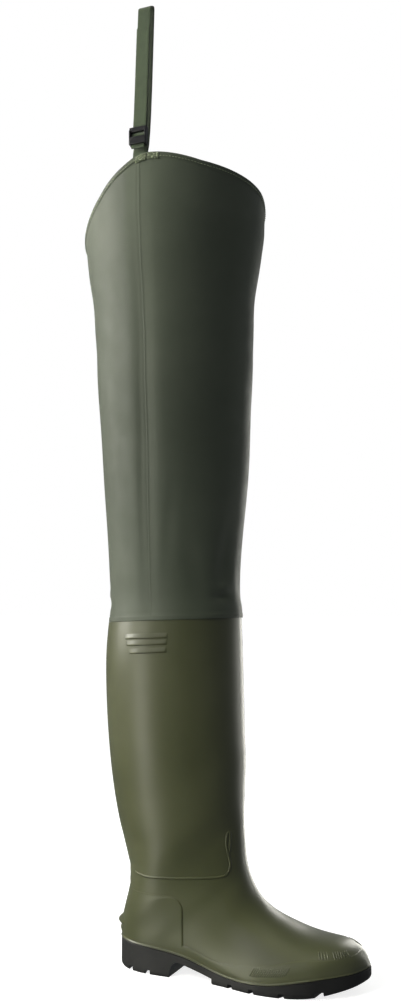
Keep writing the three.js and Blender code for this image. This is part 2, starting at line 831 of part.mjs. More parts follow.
// Heights of the shaft's rows as shares of the way from the joint to the rim or its hem
function shaftGrid(inset, steps) {
  const arounds = shaftArounds();
  const half = seamWidth / (2 * Math.PI * rimDepth * 0.46);
  const rises = shaftSections.map((row) => row.rise).filter((rise) => rise < 0.9);
  const rows = rises.map((rise) => ({ share: rise / 0.93, hem: 0 }));
  rows.push({ share: 0.96, hem: 0 }, { share: 1, drop: hemHeight + hemStep, hem: 0 });
  rows.push({ share: 1, drop: hemHeight, hem: 1 }, { share: 1, hem: 1 });
  return rows.map((row) =>
    arounds.map((around) => {
      const top = rimHeightAt(around) - (row.drop ?? 0);
      const z = mix(jointHeight + clearance, top, row.share);
      const onSeam = Math.abs(around - 0.25) < half * 1.01 ? seamStep : 0;
      const lift = steps ? Math.max(onSeam, row.hem * hemStep) : 0;
      return shaftSection(z, inset - lift, [around])[0];
    }),
  );
}

function shaft() {
  return shellBetween(shaftGrid(0, true), shaftGrid(fabricWall, false), () => true);
}

// Strap, tab and buckle: drawn in the plane across the lateral side (y, z)

const strapX = legAxis - 0.005 * soleLength;
const rimOuterZ = rimHeightAt(0.25);
const wallY = (z) => shaftSection(z, fabricWall, [0.25])[0].y + clearance * 2;
const buckleY = wallY(rimOuterZ) - 1;
const buckleZ = rimOuterZ + buckleHeight;

// A flat band of webbing that follows corners (y, z), with its width along x
function webbing(corners) {
  const shape = bandShape(corners, webbingThickness);
  const geometry = new THREE.ExtrudeGeometry(shape, { depth: webbingWidth, bevelEnabled: false });
  const places = geometry.getAttribute("position");
  for (let k = 0; k < places.count; k++) {
    const [y, z, x] = [places.getX(k), places.getY(k), places.getZ(k)];
    const lean = (strapLean * Math.max(z - rimOuterZ, 0)) / strapRise;
    places.setXYZ(k, strapX - webbingWidth / 2 + x + lean, y, z);
  }
  return solidOf(geometry);
}

function tabWebbing() {
  const low = rimOuterZ - tabLength;
  const bar = buckleZ - buckleHeight / 2 + buckleThickness / 2;
  const inner = buckleY + buckleThickness / 2 + webbingThickness;
  return webbing([
    [wallY(low) + webbingThickness / 2, low],
    [wallY(rimOuterZ) + webbingThickness / 2, rimOuterZ],
    [inner, bar - 2],
    [inner, bar + 1],
    [inner - 1.4, bar + buckleThickness / 2 + 1.4],
    [buckleY, bar + buckleThickness / 2 + 1.8],
    [buckleY - buckleThickness / 2, bar + buckleThickness / 2 + 1.2],
    [buckleY - buckleThickness / 2 - 1.2, bar],
    [buckleY - buckleThickness / 2 - 0.6, bar - buckleThickness / 2 - 3],
  ]);
}

function strapLoop() {
  const low = rimOuterZ - tabLength;
  const top = rimOuterZ + strapRise;
  const far = wallY(low) + webbingThickness * 1.5 + clearance;
  const near = buckleY + buckleThickness / 2 + webbingThickness / 2 + clearance;
  const spread = near + strapSpread;
  const round = strapSpread / 2;
  const middleBar = buckleZ + 1;
  return webbing([
    [far, low],
    [far + 1, rimOuterZ - 4],
    [spread, rimOuterZ + 26],
    [spread, top - round],
    [spread - round * 0.35, top - round * 0.25],
    [near + round * 0.9, top],
    [near + round * 0.3, top - round * 0.25],
    [near, top - round],
    [near, middleBar - 1],
    [near - 1.2, middleBar - buckleThickness / 2 - 1.3],
    [buckleY, middleBar - buckleThickness / 2 - 1.7],
    [buckleY - buckleThickness / 2 - 0.6, middleBar - 1.6],
    [buckleY - buckleThickness / 2 - 1, middleBar + 1],
    [near - webbingThickness - clearance * 2, middleBar + 6],
    [near - webbingThickness - clearance, top - tailDrop],
  ]);
}

function ladderBuckle() {
  const parts = [];
  const box = (x, y, z, sizeX, sizeY, sizeZ) => {
    const geometry = new THREE.BoxGeometry(sizeX, sizeY, sizeZ).translate(x, y, z);
    parts.push(solidOf(geometry));
  };
  const rail = (buckleWidth - webbingWidth) / 2 - clearance * 2;
  const middle = strapX + (strapLean * buckleHeight) / strapRise;
  for (const side of [-1, 1]) {
    const x = middle + (side * (buckleWidth - rail)) / 2;
    box(x, buckleY, buckleZ, rail, buckleThickness, buckleHeight);
  }
  const bar = buckleThickness * 0.7;
  const low = buckleZ - buckleHeight / 2 + buckleThickness / 2;
  box(middle, buckleY, low, buckleWidth, bar, bar);
  box(middle, buckleY, buckleZ + 1, buckleWidth, bar, bar);
  const high = buckleZ + buckleHeight / 2 - bar / 2;
  box(middle, buckleY - buckleThickness * 0.6, high, buckleWidth, bar, bar);
  return wasm.Manifold.union(parts);
}

// Assembly

const bootGreen = new THREE.MeshStandardMaterial({ color: 0x53573a, roughness: 0.45 });
const soleBlack = new THREE.MeshStandardMaterial({ color: 0x26272a, roughness: 0.7 });
const insoleGrey = new THREE.MeshStandardMaterial({ color: 0x5a5c58, roughness: 0.9 });
const fabricGreen = new THREE.MeshStandardMaterial({ color: 0x5c6350, roughness: 0.6 });
const webbingGreen = new THREE.MeshStandardMaterial({ color: 0x5a6b48, roughness: 0.85 });
const buckleBlack = new THREE.MeshStandardMaterial({ color: 0x1c1d1e, roughness: 0.4 });

const wader = new THREE.Group();
wader.add(
  meshOf(bootUpper(), "boot_upper", bootGreen),
  meshOf(outsole(), "outsole", soleBlack),
  meshOf(insole(), "insole", insoleGrey),
  meshOf(shaft(), "shaft", fabricGreen),
  meshOf(strapLoop(), "strap_webbing", webbingGreen),
  meshOf(tabWebbing(), "buckle_tab", webbingGreen),
  meshOf(ladderBuckle(), "ladder_buckle", buckleBlack),
);

// The origin is the middle of the ground under the whole wader.
const extent = new THREE.Box3().setFromObject(wader);
const middle = extent.getCenter(new THREE.Vector3());
wader.position.set(-middle.x, -middle.y, -extent.min.z);

export default wader;
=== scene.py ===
# Hip wader, right boot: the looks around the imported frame.
# Sizes are millimetres from the back of the heel, as in the part's source, until a piece is finished.

import math

import bmesh
import bpy
import numpy as np
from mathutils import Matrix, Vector
from mathutils.bvhtree import BVHTree


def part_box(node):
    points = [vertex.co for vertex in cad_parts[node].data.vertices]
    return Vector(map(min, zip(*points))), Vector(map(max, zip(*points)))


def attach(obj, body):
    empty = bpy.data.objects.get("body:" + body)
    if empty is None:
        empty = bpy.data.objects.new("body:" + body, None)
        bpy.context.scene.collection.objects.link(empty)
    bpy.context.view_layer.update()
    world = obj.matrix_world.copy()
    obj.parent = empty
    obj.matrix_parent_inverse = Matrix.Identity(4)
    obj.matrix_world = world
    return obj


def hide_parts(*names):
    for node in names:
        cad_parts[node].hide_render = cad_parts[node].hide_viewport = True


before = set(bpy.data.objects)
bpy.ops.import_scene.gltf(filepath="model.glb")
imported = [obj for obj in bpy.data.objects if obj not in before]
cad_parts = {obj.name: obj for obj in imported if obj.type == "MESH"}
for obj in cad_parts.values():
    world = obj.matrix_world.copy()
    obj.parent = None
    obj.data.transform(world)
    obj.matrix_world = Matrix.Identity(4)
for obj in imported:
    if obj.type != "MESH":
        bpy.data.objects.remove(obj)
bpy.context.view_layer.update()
mm = 0.001

# Sizes

boot = {
    "soleLength": 285,
    "ballWidth": 101,
    "heelHeight": 30,
    "instepHeight": 122,
    "toeOverhang": 1.4,
    "footlineInset": 1.3,
    "legDepth": 161,
    "legWidth": 140,
    "jointHeight": 382,
    "jointTilt": 5.5,
    "sleeveHeight": 21,
    "wall": 2.6,
    "clearance": 0.3,
}
leg = {
    "rimHeight": 907,
    "rimDrop": 87,
    "rimDepth": 219,
    "rimWidth": 190,
    "wall": 1.0,
    "hemHeight": 6,
    "hemStep": 0.7,
    "seamWidth": 11,
    "seamStep": 0.6,
}
legAxis = 0.214 * boot["soleLength"]


def readTable(names, rows):
    return {name: np.array([row[k] for row in rows], float) for k, name in enumerate(names)}


# One row for each section of the foot, from the back of the heel to the tip of the toe
footSections = readTable(
    ["along", "centre", "half", "feather", "ground", "ridgeAlong", "ridge", "ridgeShift", "girth", "widest", "full"],
    [
        [0.0, 0.0, 0.0, 1.02, 0.06, 0.512, 1.255, 0.0, 0.436, 0.5, 2.05],
        [0.01, 0.0, 0.127, 1.02, 0.04, 0.5125, 1.2, 0.0, 0.428, 0.49, 2.06],
        [0.04, 0.0, 0.24, 1.02, 0.01, 0.5135, 1.14, 0.0, 0.412, 0.48, 2.08],
        [0.09, 0.0, 0.325, 1.0, 0.0, 0.515, 1.07, 0.005, 0.374, 0.46, 2.1],
        [0.15, 0.0, 0.367, 0.97, 0.0, 0.5185, 0.995, 0.01, 0.33, 0.44, 2.1],
        [0.22, 0.0, 0.378, 0.92, 0.0, 0.5255, 0.91, 0.02, 0.303, 0.4, 2.1],
        [0.32, -0.011, 0.367, 0.79, 0.0, 0.54, 0.812, 0.03, 0.32, 0.34, 2.1],
        [0.42, -0.028, 0.361, 0.52, 0.0, 0.565, 0.703, 0.045, 0.337, 0.28, 2.1],
        [0.52, -0.04, 0.406, 0.35, 0.0, 0.607, 0.606, 0.058, 0.333, 0.22, 2.12],
        [0.6, -0.034, 0.463, 0.335, 0.0, 0.656, 0.537, 0.066, 0.311, 0.2, 2.15],
        [0.66, -0.017, 0.491, 0.37, 0.0, 0.705, 0.489, 0.07, 0.287, 0.18, 2.18],
        [0.72, 0.003, 0.5, 0.45, 0.0, 0.761, 0.444, 0.074, 0.267, 0.17, 2.2],
        [0.8, 0.025, 0.471, 0.59, 0.03, 0.832, 0.412, 0.078, 0.234, 0.16, 2.25],
        [0.87, 0.045, 0.406, 0.69, 0.13, 0.898, 0.394, 0.08, 0.192, 0.15, 2.3],
        [0.93, 0.059, 0.308, 0.75, 0.26, 0.947, 0.352, 0.083, 0.137, 0.15, 2.3],
        [0.97, 0.075, 0.202, 0.79, 0.36, 0.975, 0.296, 0.085, 0.08, 0.15, 2.3],
        [0.993, 0.0875, 0.087, 0.82, 0.44, 0.988, 0.252, 0.086, 0.04, 0.15, 2.25],
        [1.0, 0.085, 0.0, 0.83, 0.48, 0.991, 0.204, 0.085, 0.0, 0.15, 2.25],
    ],
)

# One row for each closed section from the heel up to the joint with the fabric
ankleSections = readTable(
    ["back", "backRise", "front", "frontRise", "half"],
    [
        [0.374, 0.026, 0.523, 0.031, 0.32],
        [0.357, 0.066, 0.522, 0.066, 0.331],
        [0.328, 0.112, 0.521, 0.105, 0.346],
        [0.306, 0.163, 0.521, 0.149, 0.364],
        [0.312, 0.226, 0.522, 0.197, 0.382],
        [0.345, 0.288, 0.524, 0.245, 0.401],
        [0.385, 0.354, 0.527, 0.297, 0.422],
        [0.418, 0.425, 0.526, 0.354, 0.443],
        [0.446, 0.51, 0.521, 0.424, 0.464],
        [0.47, 0.61, 0.516, 0.511, 0.482],
        [0.488, 0.724, 0.512, 0.633, 0.494],
        [0.497, 0.838, 0.507, 0.764, 0.5],
        [0.494, 0.923, 0.502, 0.882, 0.497],
        [0.48, 1.0, 0.496, 1.0, 0.486],
    ],
)

# One row for each section of the fabric leg, from the joint to the rim
shaftSections = readTable(
    ["rise", "deep", "wide", "shift"],
    [
        [0.0, 0.0, 0.0, 0.012],
        [0.023, -0.02, -0.02, 0.015],
        [0.044, -0.06, -0.06, 0.012],
        [0.095, -0.035, -0.035, 0.006],
        [0.17, 0.045, 0.045, 0.005],
        [0.244, 0.16, 0.16, 0.007],
        [0.318, 0.268, 0.268, 0.009],
        [0.392, 0.337, 0.337, 0.009],
        [0.469, 0.404, 0.404, 0.004],
        [0.543, 0.482, 0.482, 0.002],
        [0.6, 0.51, 0.51, 0.001],
        [0.657, 0.565, 0.565, -0.004],
        [0.714, 0.62, 0.62, -0.008],
        [0.773, 0.78, 0.78, -0.009],
        [0.832, 0.915, 0.915, -0.005],
        [0.87, 1.0, 1.0, -0.005],
        [1.0, 1.04, 1.04, -0.005],
    ],
)

# How far the rim lies below its highest point, all round from the back over the outer side
rimProfile = readTable(
    ["around", "drop"],
    [
        [0.0, 0.93],
        [0.08, 0.78],
        [0.16, 0.41],
        [0.22, 0.115],
        [0.27, 0.0],
        [0.36, 0.126],
        [0.5, 0.32],
        [0.6, 0.6],
        [0.75, 0.91],
        [0.9, 1.0],
        [1.0, 0.93],
    ],
)


def mix(a, b, t):
    return a + (b - a) * t


def softStep(low, high, value):
    t = np.clip((np.asarray(value, float) - low) / (high - low), 0, 1)
    return t * t * (3 - 2 * t)


# A smooth curve through values at whole-number places, level at an end where flat says so
def smoothThrough(values, flatStart=False, flatEnd=False):
    values = np.asarray(values, float)
    last = len(values) - 1
    system = np.eye(last + 1)
    right = np.zeros(last + 1)
    for k in range(1, last):
        system[k, k - 1 : k + 2] = (1, 4, 1)
        right[k] = 6 * (values[k - 1] - 2 * values[k] + values[k + 1])
    if flatStart:
        system[0, :2] = (2, 1)
        right[0] = 6 * (values[1] - values[0])
    if flatEnd:
        system[last, last - 1 :] = (1, 2)
        right[last] = 6 * (values[last - 1] - values[last])
    bend = np.linalg.solve(system, right)

    def curve(place):
        place = np.clip(np.asarray(place, float), 0, last)
        k = np.minimum(place.astype(int), last - 1)
        t = place - k
        s = 1 - t
        sag = ((s**3 - s) * bend[k] + (t**3 - t) * bend[k + 1]) / 6
        return s * values[k] + t * values[k + 1] + sag

    return curve


# A smooth curve through rows whose places are one of their own columns
def curveOver(places, values):
    value = smoothThrough(values)
    steps = np.arange(len(places))
    return lambda place: value(np.interp(place, places, steps))


# The sole's outline and the heights along it

toeStation = len(footSections["along"]) - 1
outlineAlong = smoothThrough(footSections["along"] * boot["soleLength"], True, True)
outlineCentre = smoothThrough(footSections["centre"] * boot["ballWidth"], True, True)
outlineHalf = smoothThrough(footSections["half"] * boot["ballWidth"])
featherHeight = smoothThrough(footSections["feather"] * boot["heelHeight"])
groundHeight = smoothThrough(footSections["ground"] * boot["heelHeight"])
fineStations = np.linspace(0, toeStation, 1701)
fineAlong = outlineAlong(fineStations)


def featherAt(x):
    return featherHeight(np.interp(x, fineAlong, fineStations))


def groundAt(x):
    return groundHeight(np.interp(x, fineAlong, fineStations))


# Points of the outline in plan, moved inwards. side is -1 lateral, 1 medial.
def outlinePoints(stations, side, inset):
    def at(s):
        folded = np.where(s < 0, -s, np.where(s > toeStation, 2 * toeStation - s, s))
        hand = np.where(folded == s, side, -side)
        return outlineAlong(folded), outlineCentre(folded) + hand * outlineHalf(folded)

    step = 0.02
    ahead = at(stations + step)
    behind = at(stations - step)
    tangentX = ahead[0] - behind[0]
    tangentY = ahead[1] - behind[1]
    size = np.hypot(tangentX, tangentY)
    inwardX = side * tangentY / size
    inwardY = -side * tangentX / size
    x, y = at(np.asarray(stations, float))
    return x + inset * inwardX, y + inset * inwardY, inwardX, inwardY


wholeStations = np.arange(toeStation + 1.0)
lateralLine = outlinePoints(wholeStations, -1, 0)[1]
medialLine = outlinePoints(wholeStations, 1, 0)[1]
outlineMiddle = (lateralLine.min() + medialLine.max()) / 2
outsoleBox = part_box("outsole")
outsoleMiddleY = (outsoleBox[0].y + outsoleBox[1].y) / 2
heelPlace = Vector((outsoleBox[0].x / mm, outsoleMiddleY / mm - outlineMiddle, 0))

# The boot's own curves over all its sections, from the toe's tip back and up to the joint

heelRow = toeStation
topRow = heelRow + len(ankleSections["back"])
closedRidge = footSections["ridge"][0] * boot["instepHeight"]
closedFeather = footSections["feather"][0] * boot["heelHeight"]


def joined(name, scale, upper):
    return smoothThrough(np.concatenate([footSections[name][::-1] * scale, upper]))


closed = np.ones(topRow - heelRow)
frontRise = ankleSections["frontRise"]
ridgeX = joined("ridgeAlong", boot["soleLength"], legAxis + ankleSections["front"] * boot["legDepth"])
ridgeY = joined("ridgeShift", boot["ballWidth"], closed * 0)
ridgeZ = joined("ridge", boot["instepHeight"], mix(closedRidge, boot["jointHeight"], frontRise))
girthAt = joined("girth", boot["ballWidth"], ankleSections["half"] * boot["legWidth"])
widestAt = joined("widest", 1, closed * 0.5)
fullAt = joined("full", 1, closed * 2)
backLine = legAxis - ankleSections["back"] * boot["legDepth"]
backLevels = mix(closedFeather, boot["jointHeight"], ankleSections["backRise"])
backX = smoothThrough(np.concatenate([[boot["footlineInset"]], backLine]))
backZ = smoothThrough(np.concatenate([[closedFeather], backLevels]))


# Where each section starts: on the sole's outline, or up the back of the leg once it is closed
def sectionFeet(rows, side):
    onSole = rows < heelRow
    stations = np.where(onSole, toeStation - rows, 0)
    toeShare = np.clip((6 - rows) / 6, 0, 1)
    x, y, _, _ = outlinePoints(stations, side, boot["footlineInset"] + boot["toeOverhang"] * toeShare)
    footX = np.where(onSole, x, backX(rows - heelRow))
    footY = np.where(onSole, y, 0)
    footZ = np.where(onSole, featherAt(x), backZ(rows - heelRow))
    return footX, footY, footZ


# Half of each section from its foot over the side to its ridge
def halfSections(foot, centreY, ridge, girth, widest, full, side):
    turn = np.linspace(-1, 1, 97)[None, :]
    column = lambda values: np.asarray(values, float)[:, None]
    girth, widest, full = column(girth), column(widest), column(full)
    half = np.abs(column(foot[1]) - column(centreY))
    width = np.maximum((half**4 + girth**4) ** 0.25, 1e-9)
    opening = 1 - (half / width) ** full
    share = np.sin(np.abs(turn) * math.pi / 2) ** (2 / full)
    lower = turn < 0
    rise = np.where(lower, widest * (1 - share), mix(widest, 1, share))
    hidden = np.where(lower, opening * share**full, share**full)
    out = width * np.maximum(0, 1 - hidden) ** (1 / full)
    x = mix(column(foot[0]), column(ridge[0]), rise)
    y = mix(column(centreY), column(ridge[1]), rise) + side * out
    z = mix(column(foot[2]), column(ridge[2]), rise)
    return np.stack([x, y, z], -1)


# Even steps along each chain of points, at the given shares of its length
def evenSteps(chains, shares):
    steps = np.linalg.norm(np.diff(chains, axis=1), axis=2)
    lengths = np.concatenate([np.zeros((len(chains), 1)), np.cumsum(steps, axis=1)], axis=1)
    result = np.zeros((len(chains), len(shares), 3))
    for i, chain in enumerate(chains):
        wanted = shares * lengths[i, -1]
        for axis in range(3):
            result[i, :, axis] = np.interp(wanted, lengths[i], chain[:, axis])
    return result


# Whole sections: from the lateral foot over the ridge to the medial foot
def wholeSections(lateralFoot, medialFoot, ridge, own, arounds):
    centreY = (lateralFoot[1] + medialFoot[1]) / 2
    lateral = halfSections(lateralFoot, centreY, ridge, *own, -1)
    medial = halfSections(medialFoot, centreY, ridge, *own, 1)
    first = arounds < 0.5
    return np.concatenate(
        [evenSteps(lateral, arounds[first] * 2), evenSteps(medial, 2 - arounds[~first] * 2)], axis=1
    )


def bootSections(rows, arounds):
    ridge = (ridgeX(rows), ridgeY(rows), ridgeZ(rows))
    own = (np.maximum(girthAt(rows), 0), widestAt(rows), fullAt(rows))
    points = wholeSections(sectionFeet(rows, -1), sectionFeet(rows, 1), ridge, own, arounds)
    tip = rows < 1e-6
    x, y, z = sectionFeet(rows[tip], 1)
    points[tip] = np.stack([x, y, z], -1)[:, None, :]
    return points


# The fabric leg's own sections at any heights above the joint

jointDepth = (ankleSections["back"][-1] + ankleSections["front"][-1]) / 2 * boot["legDepth"]
jointWidth = ankleSections["half"][-1] * boot["legWidth"]
shaftDeep = curveOver(shaftSections["rise"], shaftSections["deep"])
shaftWide = curveOver(shaftSections["rise"], shaftSections["wide"])
shaftShift = curveOver(shaftSections["rise"], shaftSections["shift"])
rimDropAt = curveOver(rimProfile["around"], rimProfile["drop"])


def rimHeightAt(around):
    return leg["rimHeight"] - leg["rimDrop"] * rimDropAt(around)


def shaftHalves(z):
    rise = (z - boot["jointHeight"]) / (leg["rimHeight"] - boot["jointHeight"])
    depth = mix(jointDepth, leg["rimDepth"] / 2, shaftDeep(rise))
    width = mix(jointWidth, leg["rimWidth"] / 2, shaftWide(rise))
    return depth, width, legAxis + shaftShift(rise) * boot["legDepth"]


# A point of the leg for each pair of height and place around, inset from its outer face
def shaftPoints(z, around, inset):
    z = np.asarray(z, float)
    depth, width, centre = shaftHalves(z)
    depth = depth - inset
    width = width - inset
    turns = np.linspace(0, math.pi, 361)
    flatDepth = depth.reshape(-1)
    flatWidth = width.reshape(-1)
    flatAround = np.broadcast_to(around, z.shape).reshape(-1)
    folded = np.where(flatAround <= 0.5, flatAround, 1 - flatAround) * 2
    chainX = -np.cos(turns)[None, :] * flatDepth[:, None]
    chainY = np.sin(turns)[None, :] * flatWidth[:, None]
    steps = np.hypot(np.diff(chainX, axis=1), np.diff(chainY, axis=1))
    lengths = np.concatenate([np.zeros((len(steps), 1)), np.cumsum(steps, axis=1)], axis=1)
    x = np.array([np.interp(f * line[-1], line, cx) for f, line, cx in zip(folded, lengths, chainX)])
    y = np.array([np.interp(f * line[-1], line, cy) for f, line, cy in zip(folded, lengths, chainY)])
    y = np.where(flatAround <= 0.5, -y, y)
    return np.stack([x.reshape(z.shape) + centre, y.reshape(z.shape), z], -1)


# Mesh helpers


# A grid of quads moved to the points of an array (rows, columns, 3), with its own UV map
def gridOf(points, uv=None):
    rows, columns = points.shape[:2]
    bm = bmesh.new()
    bmesh.ops.create_grid(bm, x_segments=columns - 1, y_segments=rows - 1, size=0.5)
    places = {}
    for vert in bm.verts:
        i = round((vert.co.y + 0.5) * (rows - 1))
        j = round((vert.co.x + 0.5) * (columns - 1))
        places[vert.index] = (i, j)
        vert.co = points[i, j]
    if uv is not None:
        layer = bm.loops.layers.uv.new("surface")
        for face in bm.faces:
            for loop in face.loops:
                i, j = places[loop.vert.index]
                loop[layer].uv = (uv[0][i, j], uv[1][i, j])
    bm.normal_update()
    return bm


def turnOut(bm, middle):
    outward = sum((face.calc_center_median() - middle(face)).dot(face.normal) for face in bm.faces)
    if outward < 0:
        bmesh.ops.reverse_faces(bm, faces=bm.faces)
    bm.normal_update()


# Gives a thin sheet its thickness and closes it
def thicken(bm, thickness):
    bmesh.ops.solidify(bm, geom=bm.faces[:], thickness=thickness)
    bmesh.ops.recalc_face_normals(bm, faces=bm.faces)


def smoothFaces(bm, sharpAngle):
    for face in bm.faces:
        face.smooth = True
    for edge in bm.edges:
        if len(edge.link_faces) == 2 and edge.calc_face_angle(0) > math.radians(sharpAngle):
            edge.smooth = False


# Turns a finished bmesh into a piece that rides on the wader
def makePiece(bm, name, material, replaced=(), sharpAngle=38):
    smoothFaces(bm, sharpAngle)
    bmesh.ops.translate(bm, verts=bm.verts, vec=heelPlace)
    bmesh.ops.scale(bm, verts=bm.verts, vec=(mm, mm, mm))
    mesh = bpy.data.meshes.new(name)
    bm.to_mesh(mesh)
    bm.free()
    piece = bpy.data.objects.new(name, mesh)
    bpy.context.scene.collection.objects.link(piece)
    piece.data.materials.append(material)
    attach(piece, "root")
    if replaced:
        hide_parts(*replaced)
    return piece


def addWall(piece, thickness):
    wall = piece.modifiers.new("wall", "SOLIDIFY")
    wall.thickness = thickness * mm
    wall.offset = -1
    wall.use_even_offset = True
    return wall


# A straight bar of a flat shape. axis says which way it runs: "y" from the side view, "z" from plan.
def prism(corners, axis, low, high):
    bm = bmesh.new()
    if axis == "y":
        verts = [bm.verts.new((x, low, z)) for x, z in corners]
        push = (0, high - low, 0)
    else:
        verts = [bm.verts.new((x, y, low)) for x, y in corners]
        push = (0, 0, high - low)
    face = bm.faces.new(verts)
    result = bmesh.ops.extrude_face_region(bm, geom=[face])
    moved = [item for item in result["geom"] if isinstance(item, bmesh.types.BMVert)]
    bmesh.ops.translate(bm, verts=moved, vec=push)
    bmesh.ops.recalc_face_normals(bm, faces=bm.faces)
    return bm


def joinInto(target, other):
    mesh = bpy.data.meshes.new("joining")
    other.to_mesh(mesh)
    target.from_mesh(mesh)
    bpy.data.meshes.remove(mesh)
    other.free()


# Materials


def newMaterial(name):
    material = bpy.data.materials.new(name)
    material.use_nodes = True
    nodes = material.node_tree.nodes
    shader = nodes["Principled BSDF"]
    return material, material.node_tree, shader


def noiseNode(tree, vector, scale, detail=2.0, roughness=0.5):
    node = tree.nodes.new("ShaderNodeTexNoise")
    node.inputs["Scale"].default_value = scale
    node.inputs["Detail"].default_value = detail
    node.inputs["Roughness"].default_value = roughness
    tree.links.new(vector, node.inputs["Vector"])
    return node.outputs["Fac"]


def rampNode(tree, factor, stops):
    node = tree.nodes.new("ShaderNodeValToRGB")
    ramp = node.color_ramp
    while len(ramp.elements) < len(stops):
        ramp.elements.new(0.5)
    for element, (position, colour) in zip(ramp.elements, stops):
        element.position = position
        element.color = (*colour, 1)
    tree.links.new(factor, node.inputs["Fac"])
    return node.outputs["Color"]


def rangeNode(tree, value, low, high):
    node = tree.nodes.new("ShaderNodeMapRange")
    node.inputs["From Min"].default_value = 0.3
    node.inputs["From Max"].default_value = 0.7
    node.inputs["To Min"].default_value = low
    node.inputs["To Max"].default_value = high
    tree.links.new(value, node.inputs["Value"])
    return node.outputs["Result"]


def bumpNode(tree, height, strength, distance, under=None):
    node = tree.nodes.new("ShaderNodeBump")
    node.inputs["Strength"].default_value = strength
    node.inputs["Distance"].default_value = distance
    tree.links.new(height, node.inputs["Height"])
    if under is not None:
        tree.links.new(under, node.inputs["Normal"])
    return node.outputs["Normal"]


def objectCoordinates(tree):
    return tree.nodes.new("ShaderNodeTexCoord").outputs["Object"]


def surfaceCoordinates(tree):
    node = tree.nodes.new("ShaderNodeUVMap")
    node.uv_map = "surface"
    return node.outputs["UV"]


def waveNode(tree, vector, scale, direction):
    node = tree.nodes.new("ShaderNodeTexWave")
    node.wave_type = "BANDS"
    node.bands_direction = direction
    node.wave_profile = "SIN"
    node.inputs["Scale"].default_value = scale
    tree.links.new(vector, node.inputs["Vector"])
    return node.outputs["Fac"]


def mathNode(tree, operation, first, second):
    node = tree.nodes.new("ShaderNodeMath")
    node.operation = operation
    for socket, value in zip(node.inputs, (first, second)):
        if isinstance(value, (int, float)):
            socket.default_value = value
        else:
            tree.links.new(value, socket)
    return node.outputs["Value"]


bootLook = {
    "dark": (0.043, 0.047, 0.018),
    "middle": (0.052, 0.056, 0.0235),
    "light": (0.061, 0.065, 0.03),
    "roughLow": 0.36,
    "roughHigh": 0.43,
    "grain": 0.05,
    "grainSize": 900,
}


# Moulded plastic: satin, with a fine grain, slow tone changes and faint flow marks
def makeBootPlastic(look):
    material, tree, shader = newMaterial("moulded_olive_plastic")
    place = objectCoordinates(tree)
    tone = noiseNode(tree, place, 11, 3, 0.5)
    colour = rampNode(tree, tone, [(0.3, look["dark"]), (0.5, look["middle"]), (0.72, look["light"])])
    tree.links.new(colour, shader.inputs["Base Color"])
    rough = rangeNode(tree, noiseNode(tree, place, 60, 3, 0.6), look["roughLow"], look["roughHigh"])
    tree.links.new(rough, shader.inputs["Roughness"])
    slow = bumpNode(tree, noiseNode(tree, place, 38, 2, 0.4), 0.25, 0.0006)
    grain = bumpNode(tree, noiseNode(tree, place, look["grainSize"], 2, 0.6), look["grain"], 0.0003, slow)
    tree.links.new(grain, shader.inputs["Normal"])
    shader.inputs["Specular IOR Level"].default_value = 0.5
    shader.inputs["Coat Weight"].default_value = 0.08
    shader.inputs["Coat Roughness"].default_value = 0.25
    return material


fabricLook = {
    "dark": (0.048, 0.057, 0.038),
    "middle": (0.056, 0.0665, 0.045),
    "light": (0.066, 0.0765, 0.053),
    "threads": 1500,
}


# Coated fabric: a fine plain weave under a soft, slightly uneven coating
def makeCoatedFabric(look):
    material, tree, shader = newMaterial("coated_green_fabric")
    place = objectCoordinates(tree)
    surface = surfaceCoordinates(tree)
    tone = noiseNode(tree, place, 7, 4, 0.55)
    colour = rampNode(tree, tone, [(0.3, look["dark"]), (0.5, look["middle"]), (0.72, look["light"])])
    tree.links.new(colour, shader.inputs["Base Color"])
    warp = waveNode(tree, surface, look["threads"] / 2, "X")
    weft = waveNode(tree, surface, look["threads"] / 2, "Y")
    weave = mathNode(tree, "MULTIPLY", warp, weft)
    coating = bumpNode(tree, noiseNode(tree, place, 90, 3, 0.6), 0.22, 0.0005)
    woven = bumpNode(tree, weave, 0.25, 0.00012, coating)
    tree.links.new(woven, shader.inputs["Normal"])
    rough = rangeNode(tree, noiseNode(tree, place, 45, 2, 0.5), 0.52, 0.64)
    tree.links.new(rough, shader.inputs["Roughness"])
    shader.inputs["Specular IOR Level"].default_value = 0.3
    shader.inputs["Sheen Weight"].default_value = 0.12
    shader.inputs["Sheen Roughness"].default_value = 0.5
    return material


soleLook = {"dark": (0.009, 0.009, 0.0085), "light": (0.016, 0.016, 0.015), "grainSize": 1400}


# Moulded rubber: near black, matt, with a sandy grain
def makeSoleRubber(look):
    material, tree, shader = newMaterial("moulded_black_rubber")
    place = objectCoordinates(tree)
    tone = noiseNode(tree, place, 30, 5, 0.65)
    colour = rampNode(tree, tone, [(0.35, look["dark"]), (0.7, look["light"])])
    tree.links.new(colour, shader.inputs["Base Color"])
    rough = rangeNode(tree, noiseNode(tree, place, 120, 3, 0.6), 0.5, 0.66)
    tree.links.new(rough, shader.inputs["Roughness"])
    grain = bumpNode(tree, noiseNode(tree, place, look["grainSize"], 3, 0.7), 0.3, 0.0002)
    tree.links.new(grain, shader.inputs["Normal"])
    shader.inputs["Specular IOR Level"].default_value = 0.35
    return material


webbingLook = {"dark": (0.019, 0.031, 0.012), "light": (0.043, 0.064, 0.028), "threadWidth": 0.9}


